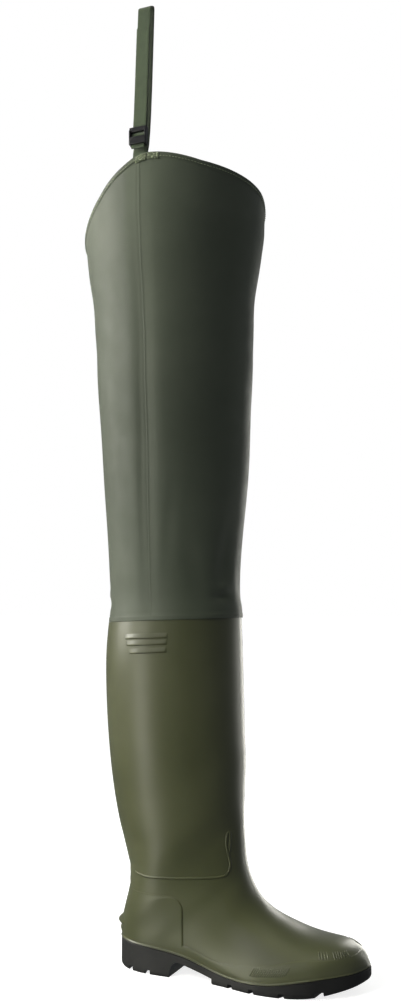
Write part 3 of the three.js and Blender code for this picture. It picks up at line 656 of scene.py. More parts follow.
# Woven webbing: ribs along the band, crossed by the weft
def makeWebbingCloth(look):
    material, tree, shader = newMaterial("woven_green_webbing")
    surface = surfaceCoordinates(tree)
    place = objectCoordinates(tree)
    ribs = waveNode(tree, surface, 0.31 / (look["threadWidth"] * mm), "X")
    weft = waveNode(tree, surface, 0.5 / (look["threadWidth"] * mm), "Y")
    weave = mathNode(tree, "ADD", mathNode(tree, "MULTIPLY", ribs, 0.65), mathNode(tree, "MULTIPLY", weft, 0.35))
    worn = mathNode(tree, "ADD", mathNode(tree, "MULTIPLY", weave, 0.7), noiseNode(tree, place, 160, 3, 0.6))
    colour = rampNode(tree, mathNode(tree, "MULTIPLY", worn, 0.6), [(0.2, look["dark"]), (0.75, look["light"])])
    tree.links.new(colour, shader.inputs["Base Color"])
    tree.links.new(bumpNode(tree, weave, 0.8, 0.0003), shader.inputs["Normal"])
    shader.inputs["Roughness"].default_value = 0.82
    shader.inputs["Sheen Weight"].default_value = 0.2
    return material


buckleLook = {"colour": (0.007, 0.007, 0.008)}


def makeBucklePlastic(look):
    material, tree, shader = newMaterial("moulded_black_plastic")
    place = objectCoordinates(tree)
    shade = noiseNode(tree, place, 200, 2, 0.5)
    lighter = tuple(value * 1.7 for value in look["colour"])
    tree.links.new(rampNode(tree, shade, [(0.3, look["colour"]), (0.8, lighter)]), shader.inputs["Base Color"])
    rough = rangeNode(tree, noiseNode(tree, place, 500, 2, 0.5), 0.28, 0.4)
    tree.links.new(rough, shader.inputs["Roughness"])
    tree.links.new(bumpNode(tree, shade, 0.15, 0.0003), shader.inputs["Normal"])
    return material


insoleLook = {"dark": (0.07, 0.073, 0.068), "light": (0.13, 0.135, 0.125)}


def makeInsoleCloth(look):
    material, tree, shader = newMaterial("grey_insole_cloth")
    place = objectCoordinates(tree)
    fibres = noiseNode(tree, place, 700, 4, 0.7)
    tree.links.new(rampNode(tree, fibres, [(0.35, look["dark"]), (0.7, look["light"])]), shader.inputs["Base Color"])
    tree.links.new(bumpNode(tree, fibres, 0.6, 0.0004), shader.inputs["Normal"])
    shader.inputs["Roughness"].default_value = 0.9
    shader.inputs["Sheen Weight"].default_value = 0.3
    return material


bootPlastic = makeBootPlastic(bootLook)
coatedFabric = makeCoatedFabric(fabricLook)
soleRubber = makeSoleRubber(soleLook)
webbingCloth = makeWebbingCloth(webbingLook)
bucklePlastic = makeBucklePlastic(buckleLook)
insoleCloth = makeInsoleCloth(insoleLook)
print("materials made")

# Camera: the photograph's angle to the boot

cameraSettings = {
    "turn": 23.2,
    "distance": 1236,
    "sideways": 30.7,
    "height": 400,
    "tiltUp": 0.1,
    "lens": 38.16,
}


def placeCamera(settings):
    turn = math.radians(settings["turn"])
    rightward = Vector((math.cos(turn), math.sin(turn), 0))
    forward = Vector((-math.sin(turn), math.cos(turn), 0))
    place = Vector((legAxis, 0, settings["height"]))
    place += rightward * settings["sideways"] - forward * settings["distance"]
    tilt = settings["tiltUp"]
    look = forward * math.cos(tilt) + Vector((0, 0, math.sin(tilt)))
    data = bpy.data.cameras.new("photo_camera")
    data.lens = settings["lens"]
    data.sensor_width = 36
    data.clip_end = 100
    camera = bpy.data.objects.new("photo_camera", data)
    camera.location = (place + heelPlace) * mm
    camera.rotation_euler = look.to_track_quat("-Z", "Y").to_euler()
    bpy.context.scene.collection.objects.link(camera)
    bpy.context.scene.camera = camera
    return forward, rightward


forward, rightward = placeCamera(cameraSettings)
print("camera placed")

# Boot skin

bootSkinSettings = {"columns": 144, "rowsPerSection": 8, "wall": boot["wall"]}

# Soft folds of the boot: where each is, how long and wide it is, and how deep (a ridge is negative)
bootFolds = readTable(
    ["x", "z", "lean", "length", "width", "depth", "side"],
    [
        [24, 113, 8, 52, 12, 0.8, 0],
        [20, 96, 4, 46, 10, -0.5, 0],
        [30, 142, -6, 60, 18, 0.6, 0],
        [70, 200, 20, 150, 60, 0.7, -1],
    ],
)


def foldDepth(points, folds):
    depth = np.zeros(points.shape[:2])
    for k in range(len(folds["x"])):
        lean = math.radians(folds["lean"][k])
        dx = points[..., 0] - folds["x"][k]
        dz = points[..., 2] - folds["z"][k]
        along = dx * math.cos(lean) + dz * math.sin(lean)
        across = -dx * math.sin(lean) + dz * math.cos(lean)
        reach = np.exp(-((along / (folds["length"][k] / 2)) ** 2) * 2)
        form = np.exp(-((across / (folds["width"][k] / 2)) ** 2) * 2)
        side = folds["side"][k]
        onSide = softStep(-12, 12, points[..., 1] * side) if side else 1
        depth += folds["depth"][k] * reach * form * onSide
    return depth


def gridNormals(points, closedFrom):
    after = np.concatenate([points[1:], points[-1:]])
    before = np.concatenate([points[:1], points[:-1]])
    right = np.concatenate([points[:, 1:], points[:, -1:]], axis=1)
    left = np.concatenate([points[:, :1], points[:, :-1]], axis=1)
    right[closedFrom:, -1] = points[closedFrom:, 1]
    left[closedFrom:, 0] = points[closedFrom:, -2]
    normal = np.cross(right - left, after - before)
    size = np.linalg.norm(normal, axis=2, keepdims=True)
    return normal / np.maximum(size, 1e-9)


# Softens the skin where the foot's fan of sections meets the ankle's closed ones
def softenJoin(points, middle, reach, around):
    span = 3 * reach
    weights = np.exp(-0.5 * (np.arange(-span, span + 1) / reach) ** 2)
    weights /= weights.sum()
    softer = points.copy()
    keep = softStep(0.015, 0.1, np.minimum(around, 1 - around))
    for i in range(middle - 2 * span, middle + 2 * span + 1):
        mean = np.tensordot(weights, points[i - span : i + span + 1], axes=(0, 0))
        share = (1 - softStep(span, 2 * span, abs(i - middle))) * keep
        softer[i] = mix(points[i], mean, share[:, None])
    return softer


# The joint with the fabric lies a little higher in front than behind
def tiltJoint(points):
    front = np.clip((points[..., 0] - legAxis) / boot["legDepth"] + 0.5, 0, 1)
    height = points[..., 2] - boot["jointHeight"]
    near = softStep(-45, 0, height) * (1 - softStep(4, 70, height))
    points[..., 2] += boot["jointTilt"] * front * near
    return points


def makeBootSkin(settings):
    arounds = np.linspace(0, 1, settings["columns"] + 1)
    rows = np.linspace(0, topRow, topRow * settings["rowsPerSection"] + 1)
    points = bootSections(rows, arounds)
    closedFrom = heelRow * settings["rowsPerSection"]
    points = softenJoin(points, closedFrom, 6, arounds)
    normals = gridNormals(points, closedFrom)
    points = points - normals * foldDepth(points, bootFolds)[..., None]
    points[closedFrom:, -1] = points[closedFrom:, 0]
    levels = boot["jointHeight"] + boot["sleeveHeight"] * np.array([0.0, 0.04, 0.5, 1.0])
    inset = leg["wall"] + boot["clearance"]
    sleeve = np.stack([shaftPoints(np.full(len(arounds), z), arounds, inset) for z in levels])
    bm = gridOf(tiltJoint(np.concatenate([points, sleeve])))
    bmesh.ops.remove_doubles(bm, verts=bm.verts, dist=0.02)
    bm.normal_update()
    tree = BVHTree.FromBMesh(bm)
    piece = makePiece(bm, "boot_skin", bootPlastic, ("boot_upper",), 60)
    addWall(piece, settings["wall"])
    return tree, piece


bootTree, bootSkin = makeBootSkin(bootSkinSettings)
print("boot skin made")


# A sheet that lies on the boot: each point is sought from inside the boot, along its own direction
def sheetOnBoot(origins, directions, lifts):
    points = np.zeros(origins.shape)
    rows, columns = origins.shape[:2]
    for i in range(rows):
        for j in range(columns):
            origin = Vector(origins[i, j])
            direction = Vector(directions[i, j]).normalized()
            place, normal, _, _ = bootTree.ray_cast(origin, direction)
            if place is None:
                place = origin
                normal = direction
            if normal.dot(direction) < 0:
                normal = -normal
            points[i, j] = place + normal * lifts[i, j]
    return points


# Seeking lines that run outwards from within the outline, for a loop of stations and heights
def outwardLines(turns, heights, inset):
    stations = np.where(turns <= 0.5, turns * 2, 2 - turns * 2) * toeStation
    sides = np.where(turns <= 0.5, -1.0, 1.0)
    x, y, inX, inY = outlinePoints(stations, sides, 0)
    origins = np.stack([x + inX * inset, y + inY * inset], -1)
    rows = len(heights)
    flat = np.broadcast_to(origins, (rows, *origins.shape))
    outward = np.stack([-inX, -inY, np.zeros(len(x))], -1)
    z = heights if heights.ndim == 2 else heights[:, None]
    z = np.broadcast_to(z, flat.shape[:2])
    return np.concatenate([flat, z[..., None]], -1), np.broadcast_to(outward, (rows, *outward.shape)), x


foxingSettings = {
    "columns": 420,
    "lift": 0.9,
    "beadLift": 1.5,
    "heights": [-0.2, 0.0, 0.4, 0.8, 1.2, 1.6, 2.1, 3.0, 5, 8, 11, 12.6, 13.4, 14.0, 14.5, 15.0],
    "profile": [0.3, 1.0, 1.7, 1.9, 1.7, 1.15, 0.9, 0.9, 0.9, 0.9, 0.9, 0.85, 0.7, 0.4, 0.0, -0.5],
    "fadeFrom": 205,
    "fadeTo": 250,
}


# The foxing band above the sole, with the thin flange that catches the light
def makeFoxingBand(settings):
    turns = np.linspace(0, 1, settings["columns"] + 1)
    stations = np.where(turns <= 0.5, turns * 2, 2 - turns * 2) * toeStation
    x = outlineAlong(stations)
    low = np.array(settings["heights"])[:, None]
    share = softStep(3.4, 11, low)
    heights = featherAt(x)[None, :] + low * (1 + share * (bandHeightAt(x)[None, :] / 15.0 - 1))
    origins, directions, _ = outwardLines(turns, heights, 24)
    lifts = np.broadcast_to(np.array(settings["profile"])[:, None], heights.shape).copy()
    fade = softStep(settings["fadeFrom"], settings["fadeTo"], x)
    upper = np.array(settings["heights"])[:, None] > 3
    lifts = np.where(upper, mix(lifts, np.minimum(lifts, 0.25), fade[None, :]), lifts)
    bm = gridOf(sheetOnBoot(origins, directions, lifts))
    bmesh.ops.remove_doubles(bm, verts=bm.verts, dist=0.02)
    thicken(bm, 1.0)
    return makePiece(bm, "foxing_band", bootPlastic, (), 50)


bandHeightAt = curveOver(
    np.array([0, 38, 61, 90, 109, 126, 143, 164, 188, 215, 250, 285.0]),
    [8.5, 8, 9, 13, 13.8, 13.6, 15, 17.6, 19.6, 20.6, 18, 16],
)
foxingBand = makeFoxingBand(foxingSettings)
print("foxing band made")

counterSettings = {
    "front": 90.5,
    "top": 87,
    "corner": 15,
    "lift": 0.6,
    "columns": 150,
    "rows": 40,
    "softFrom": 78,
    "softTo": 26,
}


# The heel counter: a raised field round the heel, crisp in front and fading out at the back
def makeHeelCounter(settings):
    frontStation = float(np.interp(settings["front"], fineAlong, fineStations))
    reach = frontStation / toeStation / 2
    across = np.linspace(-1, 1, settings["columns"] + 1)
    across = np.sign(across) * (1 - (1 - np.abs(across)) ** 1.6)
    turns = np.where(across < 0, -across * reach, 1 - across * reach)
    stations = np.abs(across) * frontStation
    x = outlineAlong(stations)
    into = np.clip(x - (settings["front"] - settings["corner"]), 0, settings["corner"])
    round_ = settings["corner"] - np.sqrt(settings["corner"] ** 2 - into**2)
    top = settings["top"] - round_
    low = featherAt(x) + bandHeightAt(x) * 0.8
    up = 1 - (1 - np.linspace(0, 1, settings["rows"] + 1)) ** 1.7
    heights = mix(low[None, :], top[None, :], up[:, None])
    origins, directions, _ = outwardLines(turns, heights, 24)
    below = top[None, :] - heights
    ahead = (settings["front"] - x)[None, :]
    soft = mix(1.2, 16, 1 - softStep(settings["softTo"], settings["softFrom"], x))[None, :]
    lifts = settings["lift"] * softStep(0, soft, below) * softStep(0, 1.2, ahead) - 0.05
    lifts = np.where((below < 0.01) | (ahead < 0.01), -0.5, lifts)
    bm = gridOf(sheetOnBoot(origins, directions, lifts))
    bmesh.ops.remove_doubles(bm, verts=bm.verts, dist=0.005)
    thicken(bm, 0.6)
    return makePiece(bm, "heel_counter", bootPlastic, (), 50)


spurSettings = {
    "reach": 2.6,
    "columns": 70,
    "heights": [30, 32.5, 35.5, 37.5, 39, 40, 41.2, 42.5, 44.2, 45.2, 46, 47, 48, 49.2, 50.6, 52.5, 55, 58, 61],
    "lifts": [-0.5, 0.5, 0.9, 1.3, 1.7, 1.8, 1.4, 0.9, 1.1, 2.2, 3.8, 4.7, 4.8, 4.2, 2.9, 1.6, 0.7, 0.2, -0.5],
}


# The kick-off spur: a rounded wedge round the heel with a low lip under it
def makeSpur(settings):
    across = np.linspace(-1, 1, settings["columns"] + 1)
    reach = settings["reach"] / toeStation / 2
    turns = np.where(across < 0, -across * reach, 1 - across * reach)
    heights = np.broadcast_to(np.array(settings["heights"])[:, None], (len(settings["heights"]), len(turns)))
    origins, directions, _ = outwardLines(turns, heights, 24)
    taper = 1 - softStep(0.35, 1.0, np.abs(across))
    lifts = np.maximum(np.array(settings["lifts"])[:, None], 0) * taper[None, :] - 0.1
    lifts[0], lifts[-1] = -0.5, -0.5
    lifts[:, 0], lifts[:, -1] = -0.5, -0.5
    bm = gridOf(sheetOnBoot(origins, directions, lifts))
    bmesh.ops.remove_doubles(bm, verts=bm.verts, dist=0.005)
    thicken(bm, 0.5)
    return makePiece(bm, "kick_off_spur", bootPlastic, (), 60)


# A sheet on one side of the boot, given in the side view
def sideSheet(x, z, lifts, side):
    origins = np.stack([x, np.zeros(x.shape), z], -1)
    directions = np.broadcast_to(np.array([0.0, side, 0.0]), origins.shape)
    return sheetOnBoot(origins, directions, lifts)


# A raised line of even width along corners in the side view, its ends run out
def raisedLine(corners, width, lift, side, step=1.2, under=0.0, cuts=2):
    path = np.array([tuple(place) for place in roundedPath(corners, cuts)])
    lengths = np.concatenate([[0], np.cumsum(np.hypot(*np.diff(path, axis=0).T))])
    fine = np.linspace(0, lengths[-1], max(int(lengths[-1] / step), 6))
    x = np.interp(fine, lengths, path[:, 0])
    z = np.interp(fine, lengths, path[:, 1])
    dx, dz = np.gradient(x), np.gradient(z)
    size = np.hypot(dx, dz)
    across = np.array([-1, -0.85, -0.6, -0.3, 0, 0.3, 0.6, 0.85, 1])
    turned = np.ones(len(x))
    for k in range(len(x)):
        _, normal, _, _ = bootTree.ray_cast(Vector((x[k], 0, z[k])), Vector((0, side, 0)))
        if normal is not None:
            turned[k] = max(abs(normal.y), 0.3)
    gridX = x[:, None] - (dz / size * turned)[:, None] * across * width / 2
    gridZ = z[:, None] + (dx / size)[:, None] * across * width / 2
    ends = softStep(0, width * 1.2, fine) * softStep(0, width * 1.2, lengths[-1] - fine)
    lifts = under + lift * np.sqrt(1 - across**2)[None, :] * ends[:, None] - 0.05
    lifts[:, 0] -= 0.4
    lifts[:, -1] -= 0.4
    lifts[0] = under - 0.45
    lifts[-1] = under - 0.45
    bm = gridOf(sideSheet(gridX, gridZ, lifts, side))
    thicken(bm, 0.3)
    return bm


def roundedPath(corners, cuts=2):
    path = [Vector(corner) for corner in corners]
    for _ in range(cuts):
        softer = [path[0]]
        for a, b in zip(path, path[1:]):
            softer += [a.lerp(b, 0.25), a.lerp(b, 0.75)]
        softer.append(path[-1])
        path = softer
    return path


beadSettings = {
    "width": 2.2,
    "lift": 0.6,
    "path": [
        (30, 107.5),
        (48.5, 105.3),
        (70, 106.6),
        (93, 107.2),
        (115, 108.3),
        (129, 109.0),
        (134.4, 110.5),
        (137.2, 113.5),
        (138.4, 118),
        (138.6, 123),
        (137.6, 129),
        (136.3, 135.5),
        (135.1, 142),
        (135.0, 148),
        (135.5, 153),
        (136.4, 156.2),
        (137.2, 156.8),
        (137.9, 154.6),
        (138.1, 150),
        (137.9, 143),
        (137.6, 134),
    ],
}


def makeAnkleBead(settings):
    whole = bmesh.new()
    for side in (-1, 1):
        joinInto(whole, raisedLine(settings["path"], settings["width"], settings["lift"], side))
    return makePiece(whole, "ankle_bead", bootPlastic, (), 60)


ribSettings = {
    "rows": [(29.4, 84.4, 367.4), (32.6, 83.6, 360.2), (36.4, 83.0, 351.6)],
    "height": 4.9,
    "lift": 1.1,
    "rise": 2.4,
}


# The three finger ribs below the joint, on the outer side
def makeFingerRibs(settings):
    whole = bmesh.new()
    for start, end, level in settings["rows"]:
        x = np.concatenate([[0, 0.4, 1.2, 2.4, 4], np.linspace(6, end - start - 6, 18)])
        x = np.concatenate([x, end - start - np.array([4, 2.4, 1.2, 0.4, 0])]) + start
        across = np.array([-1, -0.92, -0.76, -0.5, -0.15, 0.25, 0.65, 1.0, 1.3])
        form = np.array([-0.3, 0.5, 0.9, 1.0, 0.86, 0.62, 0.34, 0.1, -0.15])
        slope = settings["rise"] * (x - start) / (end - start)
        gridX = np.broadcast_to(x[:, None], (len(x), len(across)))
        gridZ = level + slope[:, None] - 0.7 + across[None, :] * settings["height"] / 2
        ends = softStep(-1, 13, x - start) * softStep(0, 2.0, end - x)
        lifts = settings["lift"] * form[None, :] * ends[:, None] - 0.05
        lifts[0], lifts[-1] = -0.5, -0.5
        bm = gridOf(sideSheet(gridX, gridZ, lifts, -1))
        thicken(bm, 0.3)
        joinInto(whole, bm)
    return makePiece(whole, "finger_ribs", bootPlastic, (), 60)


hatchSettings = {"from": 171.5, "to": 212, "pitch": 2.35, "lean": 4.5, "height": 9, "width": 1.2, "lift": 0.4}


# The fine slanting ribs on the band beside the ball of the foot, on both sides
def makeHatch(settings):
    whole = bmesh.new()
    for side in (-1, 1):
        for k in range(int((settings["to"] - settings["from"]) / settings["pitch"])):
            x = settings["from"] + k * settings["pitch"]
            low = float(featherAt(x)) + 8
            corners = [(x, low), (x + settings["lean"], low + settings["height"])]
            line = raisedLine(corners, settings["width"], settings["lift"], side, 1.6, 0.9, 0)
            joinInto(whole, line)
    return makePiece(whole, "band_hatch", bootPlastic, (), 60)


toeRibSettings = {
    "groups": [(245, 253, 4), (259, 273, 7)],
    "low": 37.8,
    "high": 44.2,
    "halfWidth": 0.7,
    "lift": 0.55,
}


# The short upright ribs round the toe cap
def makeToeRibs(settings):
    whole = bmesh.new()
    up = np.array([0, 0.12, 0.3, 0.5, 0.7, 0.88, 1.0])
    across = np.array([-1, -0.6, 0, 0.6, 1])
    for side in (0, 1):
        for first, last, count in settings["groups"]:
            for x in np.linspace(first, last, count):
                station = np.interp(x + across * settings["halfWidth"], fineAlong, fineStations)
                share = station / toeStation / 2
                turns = share if side == 0 else 1 - share
                heights = mix(settings["low"], settings["high"], up)[:, None] * np.ones(len(turns))[None, :]
                origins, directions, _ = outwardLines(turns, heights, 20)
                lifts = settings["lift"] * np.sqrt(np.maximum(1 - across**2, 0))[None, :] * np.ones((len(up), 1))
                lifts[[0, -1]] = -0.3
                lifts[:, [0, -1]] = -0.3
                bm = gridOf(sheetOnBoot(origins, directions, lifts))
                thicken(bm, 0.3)
                joinInto(whole, bm)
    return makePiece(whole, "toe_ribs", bootPlastic, (), 60)


heelCounter = makeHeelCounter(counterSettings)
kickOffSpur = makeSpur(spurSettings)
ankleBead = makeAnkleBead(beadSettings)
fingerRibs = makeFingerRibs(ribSettings)
bandHatch = makeHatch(hatchSettings)
toeRibs = makeToeRibs(toeRibSettings)
print("moulded details made")

# Sole

soleSettings = {
    "stations": 170,
    "edgeBevel": 1.2,
    "lipInset": 0.8,
    "lipHeight": 1.0,
    "treadDepth": 4.5,
    "grooveWidth": 5.2,
    "shankBarWidth": 27,
    "shankPocketDepth": 2.5,
    "breast": 0.255,
    "foreEdge": 0.43,
    "softEdge": 0.5,
}

# The tread's grooves, as in the part's source
grooves = readTable(
    ["edge", "sweep", "reach", "hook", "width"],
    [
        [0.838, 0.035, 0.6, 0, 1.5],
        [0.7, 0.1, 0.6, 0, 1],
        [0.585, 0.1, 0.6, 0, 1],
        [0.485, 0.1, 0.6, 0, 1],
        [0.72, 0.055, 0.27, 1, 1],
        [0.608, 0.055, 0.27, 1, 1],
        [0.502, 0.055, 0.27, 1, 1],
        [0.186, -0.05, 0.6, 0, 1],
        [0.095, -0.02, 0.6, 0, 1],
    ],
)


# A closed solid from rings on the sole's outline, from the lowest to the highest
def makeSoleBlock(settings, rings):
    half = np.linspace(0, toeStation, settings["stations"] + 1)
    stations = np.concatenate([half, half[-2::-1]])
    sides = np.where(np.arange(len(stations)) <= settings["stations"], -1.0, 1.0)
    levels = []
    for inset, height in rings:
        x, y, _, _ = outlinePoints(stations, sides, inset)
        levels.append(np.stack([x, y, height(x)], -1))
    points = np.array(levels)
    points[:, -1] = points[:, 0]
    bm = gridOf(points)
    bmesh.ops.remove_doubles(bm, verts=bm.verts, dist=0.001)
    ends = [edge for edge in bm.edges if len(edge.link_faces) == 1]
    caps = bmesh.ops.edgeloop_fill(bm, edges=ends)["faces"]
    bmesh.ops.triangulate(bm, faces=caps)
    bmesh.ops.recalc_face_normals(bm, faces=bm.faces)
    return bm


def bandCorners(corners, width):
    chain = [Vector(corner) for corner in corners]
    upper, lower = [], []
    for k, corner in enumerate(chain):
        before = (corner - chain[k - 1]).normalized() if k > 0 else None
        after = (chain[k + 1] - corner).normalized() if k < len(chain) - 1 else None
        one = before or after
        two = after or before
        normal = Vector((-one.y - two.y, one.x + two.x)).normalized()
        miter = 1 / max(normal.dot(Vector((-one.y, one.x))), 0.4)
        upper.append(corner + normal * width / 2 * miter)
        lower.insert(0, corner - normal * width / 2 * miter)
    return [tuple(corner) for corner in upper + lower]


# The void under the arch, from the heel's breast to the first lugs
def archVoid(settings):
    length, heel = boot["soleLength"], boot["heelHeight"]
    breast, fore = settings["breast"], settings["foreEdge"]
    start = ((breast + 0.004) * length, 0.2 * heel)
    bend = ((breast + 0.012) * length, 0.57 * heel)
    end = ((breast + 0.04) * length, 0.57 * heel)
    arc = []
    for t in np.linspace(0, 1, 9):
        arc.append(tuple((1 - t) ** 2 * a + 2 * t * (1 - t) * b + t * t * c for a, b, c in zip(start, bend, end)))
    low = 0.21 * heel
    profile = [(breast * length, -1), *arc, (fore * length, low), ((fore + 0.1) * length, low)]
    profile.append(((fore + 0.1) * length, -1))
    return prism(profile, "y", -boot["ballWidth"], boot["ballWidth"])


def applyBoolean(piece, cutter, operation="DIFFERENCE"):
    modifier = piece.modifiers.new("cut", "BOOLEAN")
    modifier.operation = operation
    modifier.solver = "EXACT"
    modifier.object = cutter
    bpy.context.view_layer.update()
    evaluated = piece.evaluated_get(bpy.context.evaluated_depsgraph_get())
    mesh = bpy.data.meshes.new_from_object(evaluated)
    piece.modifiers.remove(modifier)
    old = piece.data
    piece.data = mesh
    bpy.data.meshes.remove(old)


def looseObject(bm, name):
    mesh = bpy.data.meshes.new(name)
    bm.to_mesh(mesh)
    bm.free()
    thing = bpy.data.objects.new(name, mesh)
    bpy.context.scene.collection.objects.link(thing)
    return thing


def grooveCutters(settings):
    middle = float(outlineCentre(toeStation * 0.6))
    length, width = boot["soleLength"], boot["ballWidth"]
    result = []
    for edge, sweep, reach, hook, share in zip(*grooves.values()):
        end = edge * length
        apex = (edge + sweep) * length
        corners = [(end, middle - reach * width), (apex, middle), (end, middle + reach * width)]
        if hook:
            back = end - 0.035 * length
            corners = [(back, middle - reach * width), *corners, (back, middle + reach * width)]
        top = float(groundAt((end + apex) / 2)) + settings["treadDepth"]
        result.append(prism(bandCorners(corners, settings["grooveWidth"] * share), "z", -2, top))
    return result


def makeSole(settings):
    bevel = settings["edgeBevel"]
    rings = [
        (bevel, groundAt),
        (bevel / 3, lambda x: groundAt(x) + bevel),
        (0.0, lambda x: groundAt(x) + bevel * 2),
        (0.0, lambda x: groundAt(x) + settings["treadDepth"] + 0.4),
        (0.0, lambda x: mix(groundAt(x) + settings["treadDepth"], featherAt(x) - 1.3, 0.4)),
        (0.0, lambda x: mix(groundAt(x) + settings["treadDepth"], featherAt(x) - 1.3, 0.7)),
        (0.0, lambda x: featherAt(x) - boot["clearance"] - settings["lipHeight"]),
        (settings["lipInset"], lambda x: featherAt(x) - boot["clearance"]),
    ]
    body = looseObject(makeSoleBlock(settings, rings), "sole_work")
    length, width, heel, fore = boot["soleLength"], boot["ballWidth"], boot["heelHeight"], settings["foreEdge"]
    archObject = looseObject(archVoid(settings), "arch_work")
    bar = settings["shankBarWidth"] / 2
    foreEnd = [
        (0.2 * length, -width),
        (fore * length, -0.42 * width),
        ((fore + 0.05) * length, -bar),
        ((fore + 0.05) * length, bar),
        (fore * length, 0.36 * width),
        (0.2 * length, width),
    ]
    limit = looseObject(prism(foreEnd, "z", -2, heel), "arch_limit")
    applyBoolean(archObject, limit, "INTERSECT")
    applyBoolean(body, archObject)
    for name, bm in enumerate(grooveCutters(settings)):
        cutter = looseObject(bm, f"groove_{name}")
        applyBoolean(body, cutter)
        bpy.data.objects.remove(cutter)
    back = (settings["breast"] + 0.03) * length
    front = (fore - 0.02) * length
    slope = [(back, -1), (front, -1), (front, 0.22 * heel + 2.5), (back, 0.55 * heel + 2.5)]
    for side in (-1, 1):
        plan = [(back, side * bar), (back, side * 0.28 * width), (front, side * (bar + 2)), (front, side * bar)]
        pocket = looseObject(prism(plan, "z", -1, heel), "pocket_work")
        wedge = looseObject(prism(slope, "y", -width, width), "wedge_work")
        applyBoolean(pocket, wedge, "INTERSECT")
        applyBoolean(body, pocket)
        bpy.data.objects.remove(pocket)
        bpy.data.objects.remove(wedge)
    bpy.data.objects.remove(archObject)
    bpy.data.objects.remove(limit)
    bm = bmesh.new()
    bm.from_mesh(body.data)
    bpy.data.objects.remove(body)
    bmesh.ops.remove_doubles(bm, verts=bm.verts, dist=0.01)
    return makePiece(bm, "lugged_sole", soleRubber, ("outsole",), 28)


luggedSole = makeSole(soleSettings)
print("sole made")

insoleSettings = {"stations": 110, "thickness": 3, "dish": 1.0}


def makeInsole(settings):
    inset = boot["footlineInset"] + boot["toeOverhang"] + boot["wall"] + 2 * boot["clearance"]
    thick = settings["thickness"]
    rings = [
        (inset, lambda x: featherAt(x)),
        (inset, lambda x: featherAt(x) + thick * 0.7),
        (inset + 0.5, lambda x: featherAt(x) + thick * 0.92),
        (inset + 1.4, lambda x: featherAt(x) + thick),
    ]
    bm = makeSoleBlock(settings, rings)
    return makePiece(bm, "foot_bed", insoleCloth, ("insole",), 40)


footBed = makeInsole(insoleSettings)
print("insole made")

# Leg

legSettings = {
    "columns": 168,
    "rows": 150,
    "hemRows": 9,
    "weldHeight": 5.5,
    "weldStep": 0.5,
}

# Soft folds of the fabric leg: place around and height, and how far each runs both ways
legFolds = readTable(
    ["around", "z", "wide", "tall", "depth", "drift"],
    [
        [0.247, 610, 0.03, 640, 2.0, 0.0],
        [0.16, 600, 0.04, 460, -0.8, -0.004],
        [0.232, 540, 0.008, 300, 0.35, 0.004],
        [0.3, 490, 0.02, 130, 0.6, 0.01],
        [0.435, 408, 0.034, 14, 2.9, 0.0],
        [0.443, 419, 0.035, 18, -1.6, 0.0],
        [0.05, 403, 0.03, 15, 1.6, 0.0],
        [0.06, 413, 0.03, 16, -0.9, 0.0],
        [0.44, 455, 0.03, 120, 1.5, 0.02],
        [0.475, 430, 0.03, 60, -1.2, 0.0],
        [0.36, 440, 0.03, 90, 0.9, -0.02],
        [0.57, 470, 0.03, 150, 1.3, 0.01],
        [0.66, 540, 0.035, 240, -1.4, 0.01],
        [0.74, 500, 0.03, 260, 1.5, -0.01],
        [0.83, 620, 0.04, 320, -1.2, 0.0],
        [0.9, 470, 0.03, 160, 1.2, 0.01],
        [0.06, 520, 0.03, 200, 1.0, 0.01],
        [0.1, 700, 0.04, 200, -1.0, 0.0],
    ],
)


def legFoldDepth(z, around):
    depth = np.zeros(z.shape)
    for k in range(len(legFolds["z"])):
        height = (z - legFolds["z"][k]) / (legFolds["tall"][k] / 2)
        centre = legFolds["around"][k] + legFolds["drift"][k] * height
        gap = (around - centre + 0.5) % 1 - 0.5
        depth += legFolds["depth"][k] * np.exp(-2 * height**2 - 2 * (gap / legFolds["wide"][k]) ** 2)
    return depth


def legArounds(settings):
    even = np.linspace(0, 1, settings["columns"] + 1)
    circumference = math.pi * 168
    near = np.array([-7.5, -6.2, -5.5, -4.9, -3.6, -2.2, -1.2, -0.6, 0, 0.5, 1.0, 1.6, 2.6, 4.0]) / circumference
    far = np.abs(even - 0.25) > 8.5 / circumference
    return np.unique(np.concatenate([even[far], 0.25 + near])), circumference


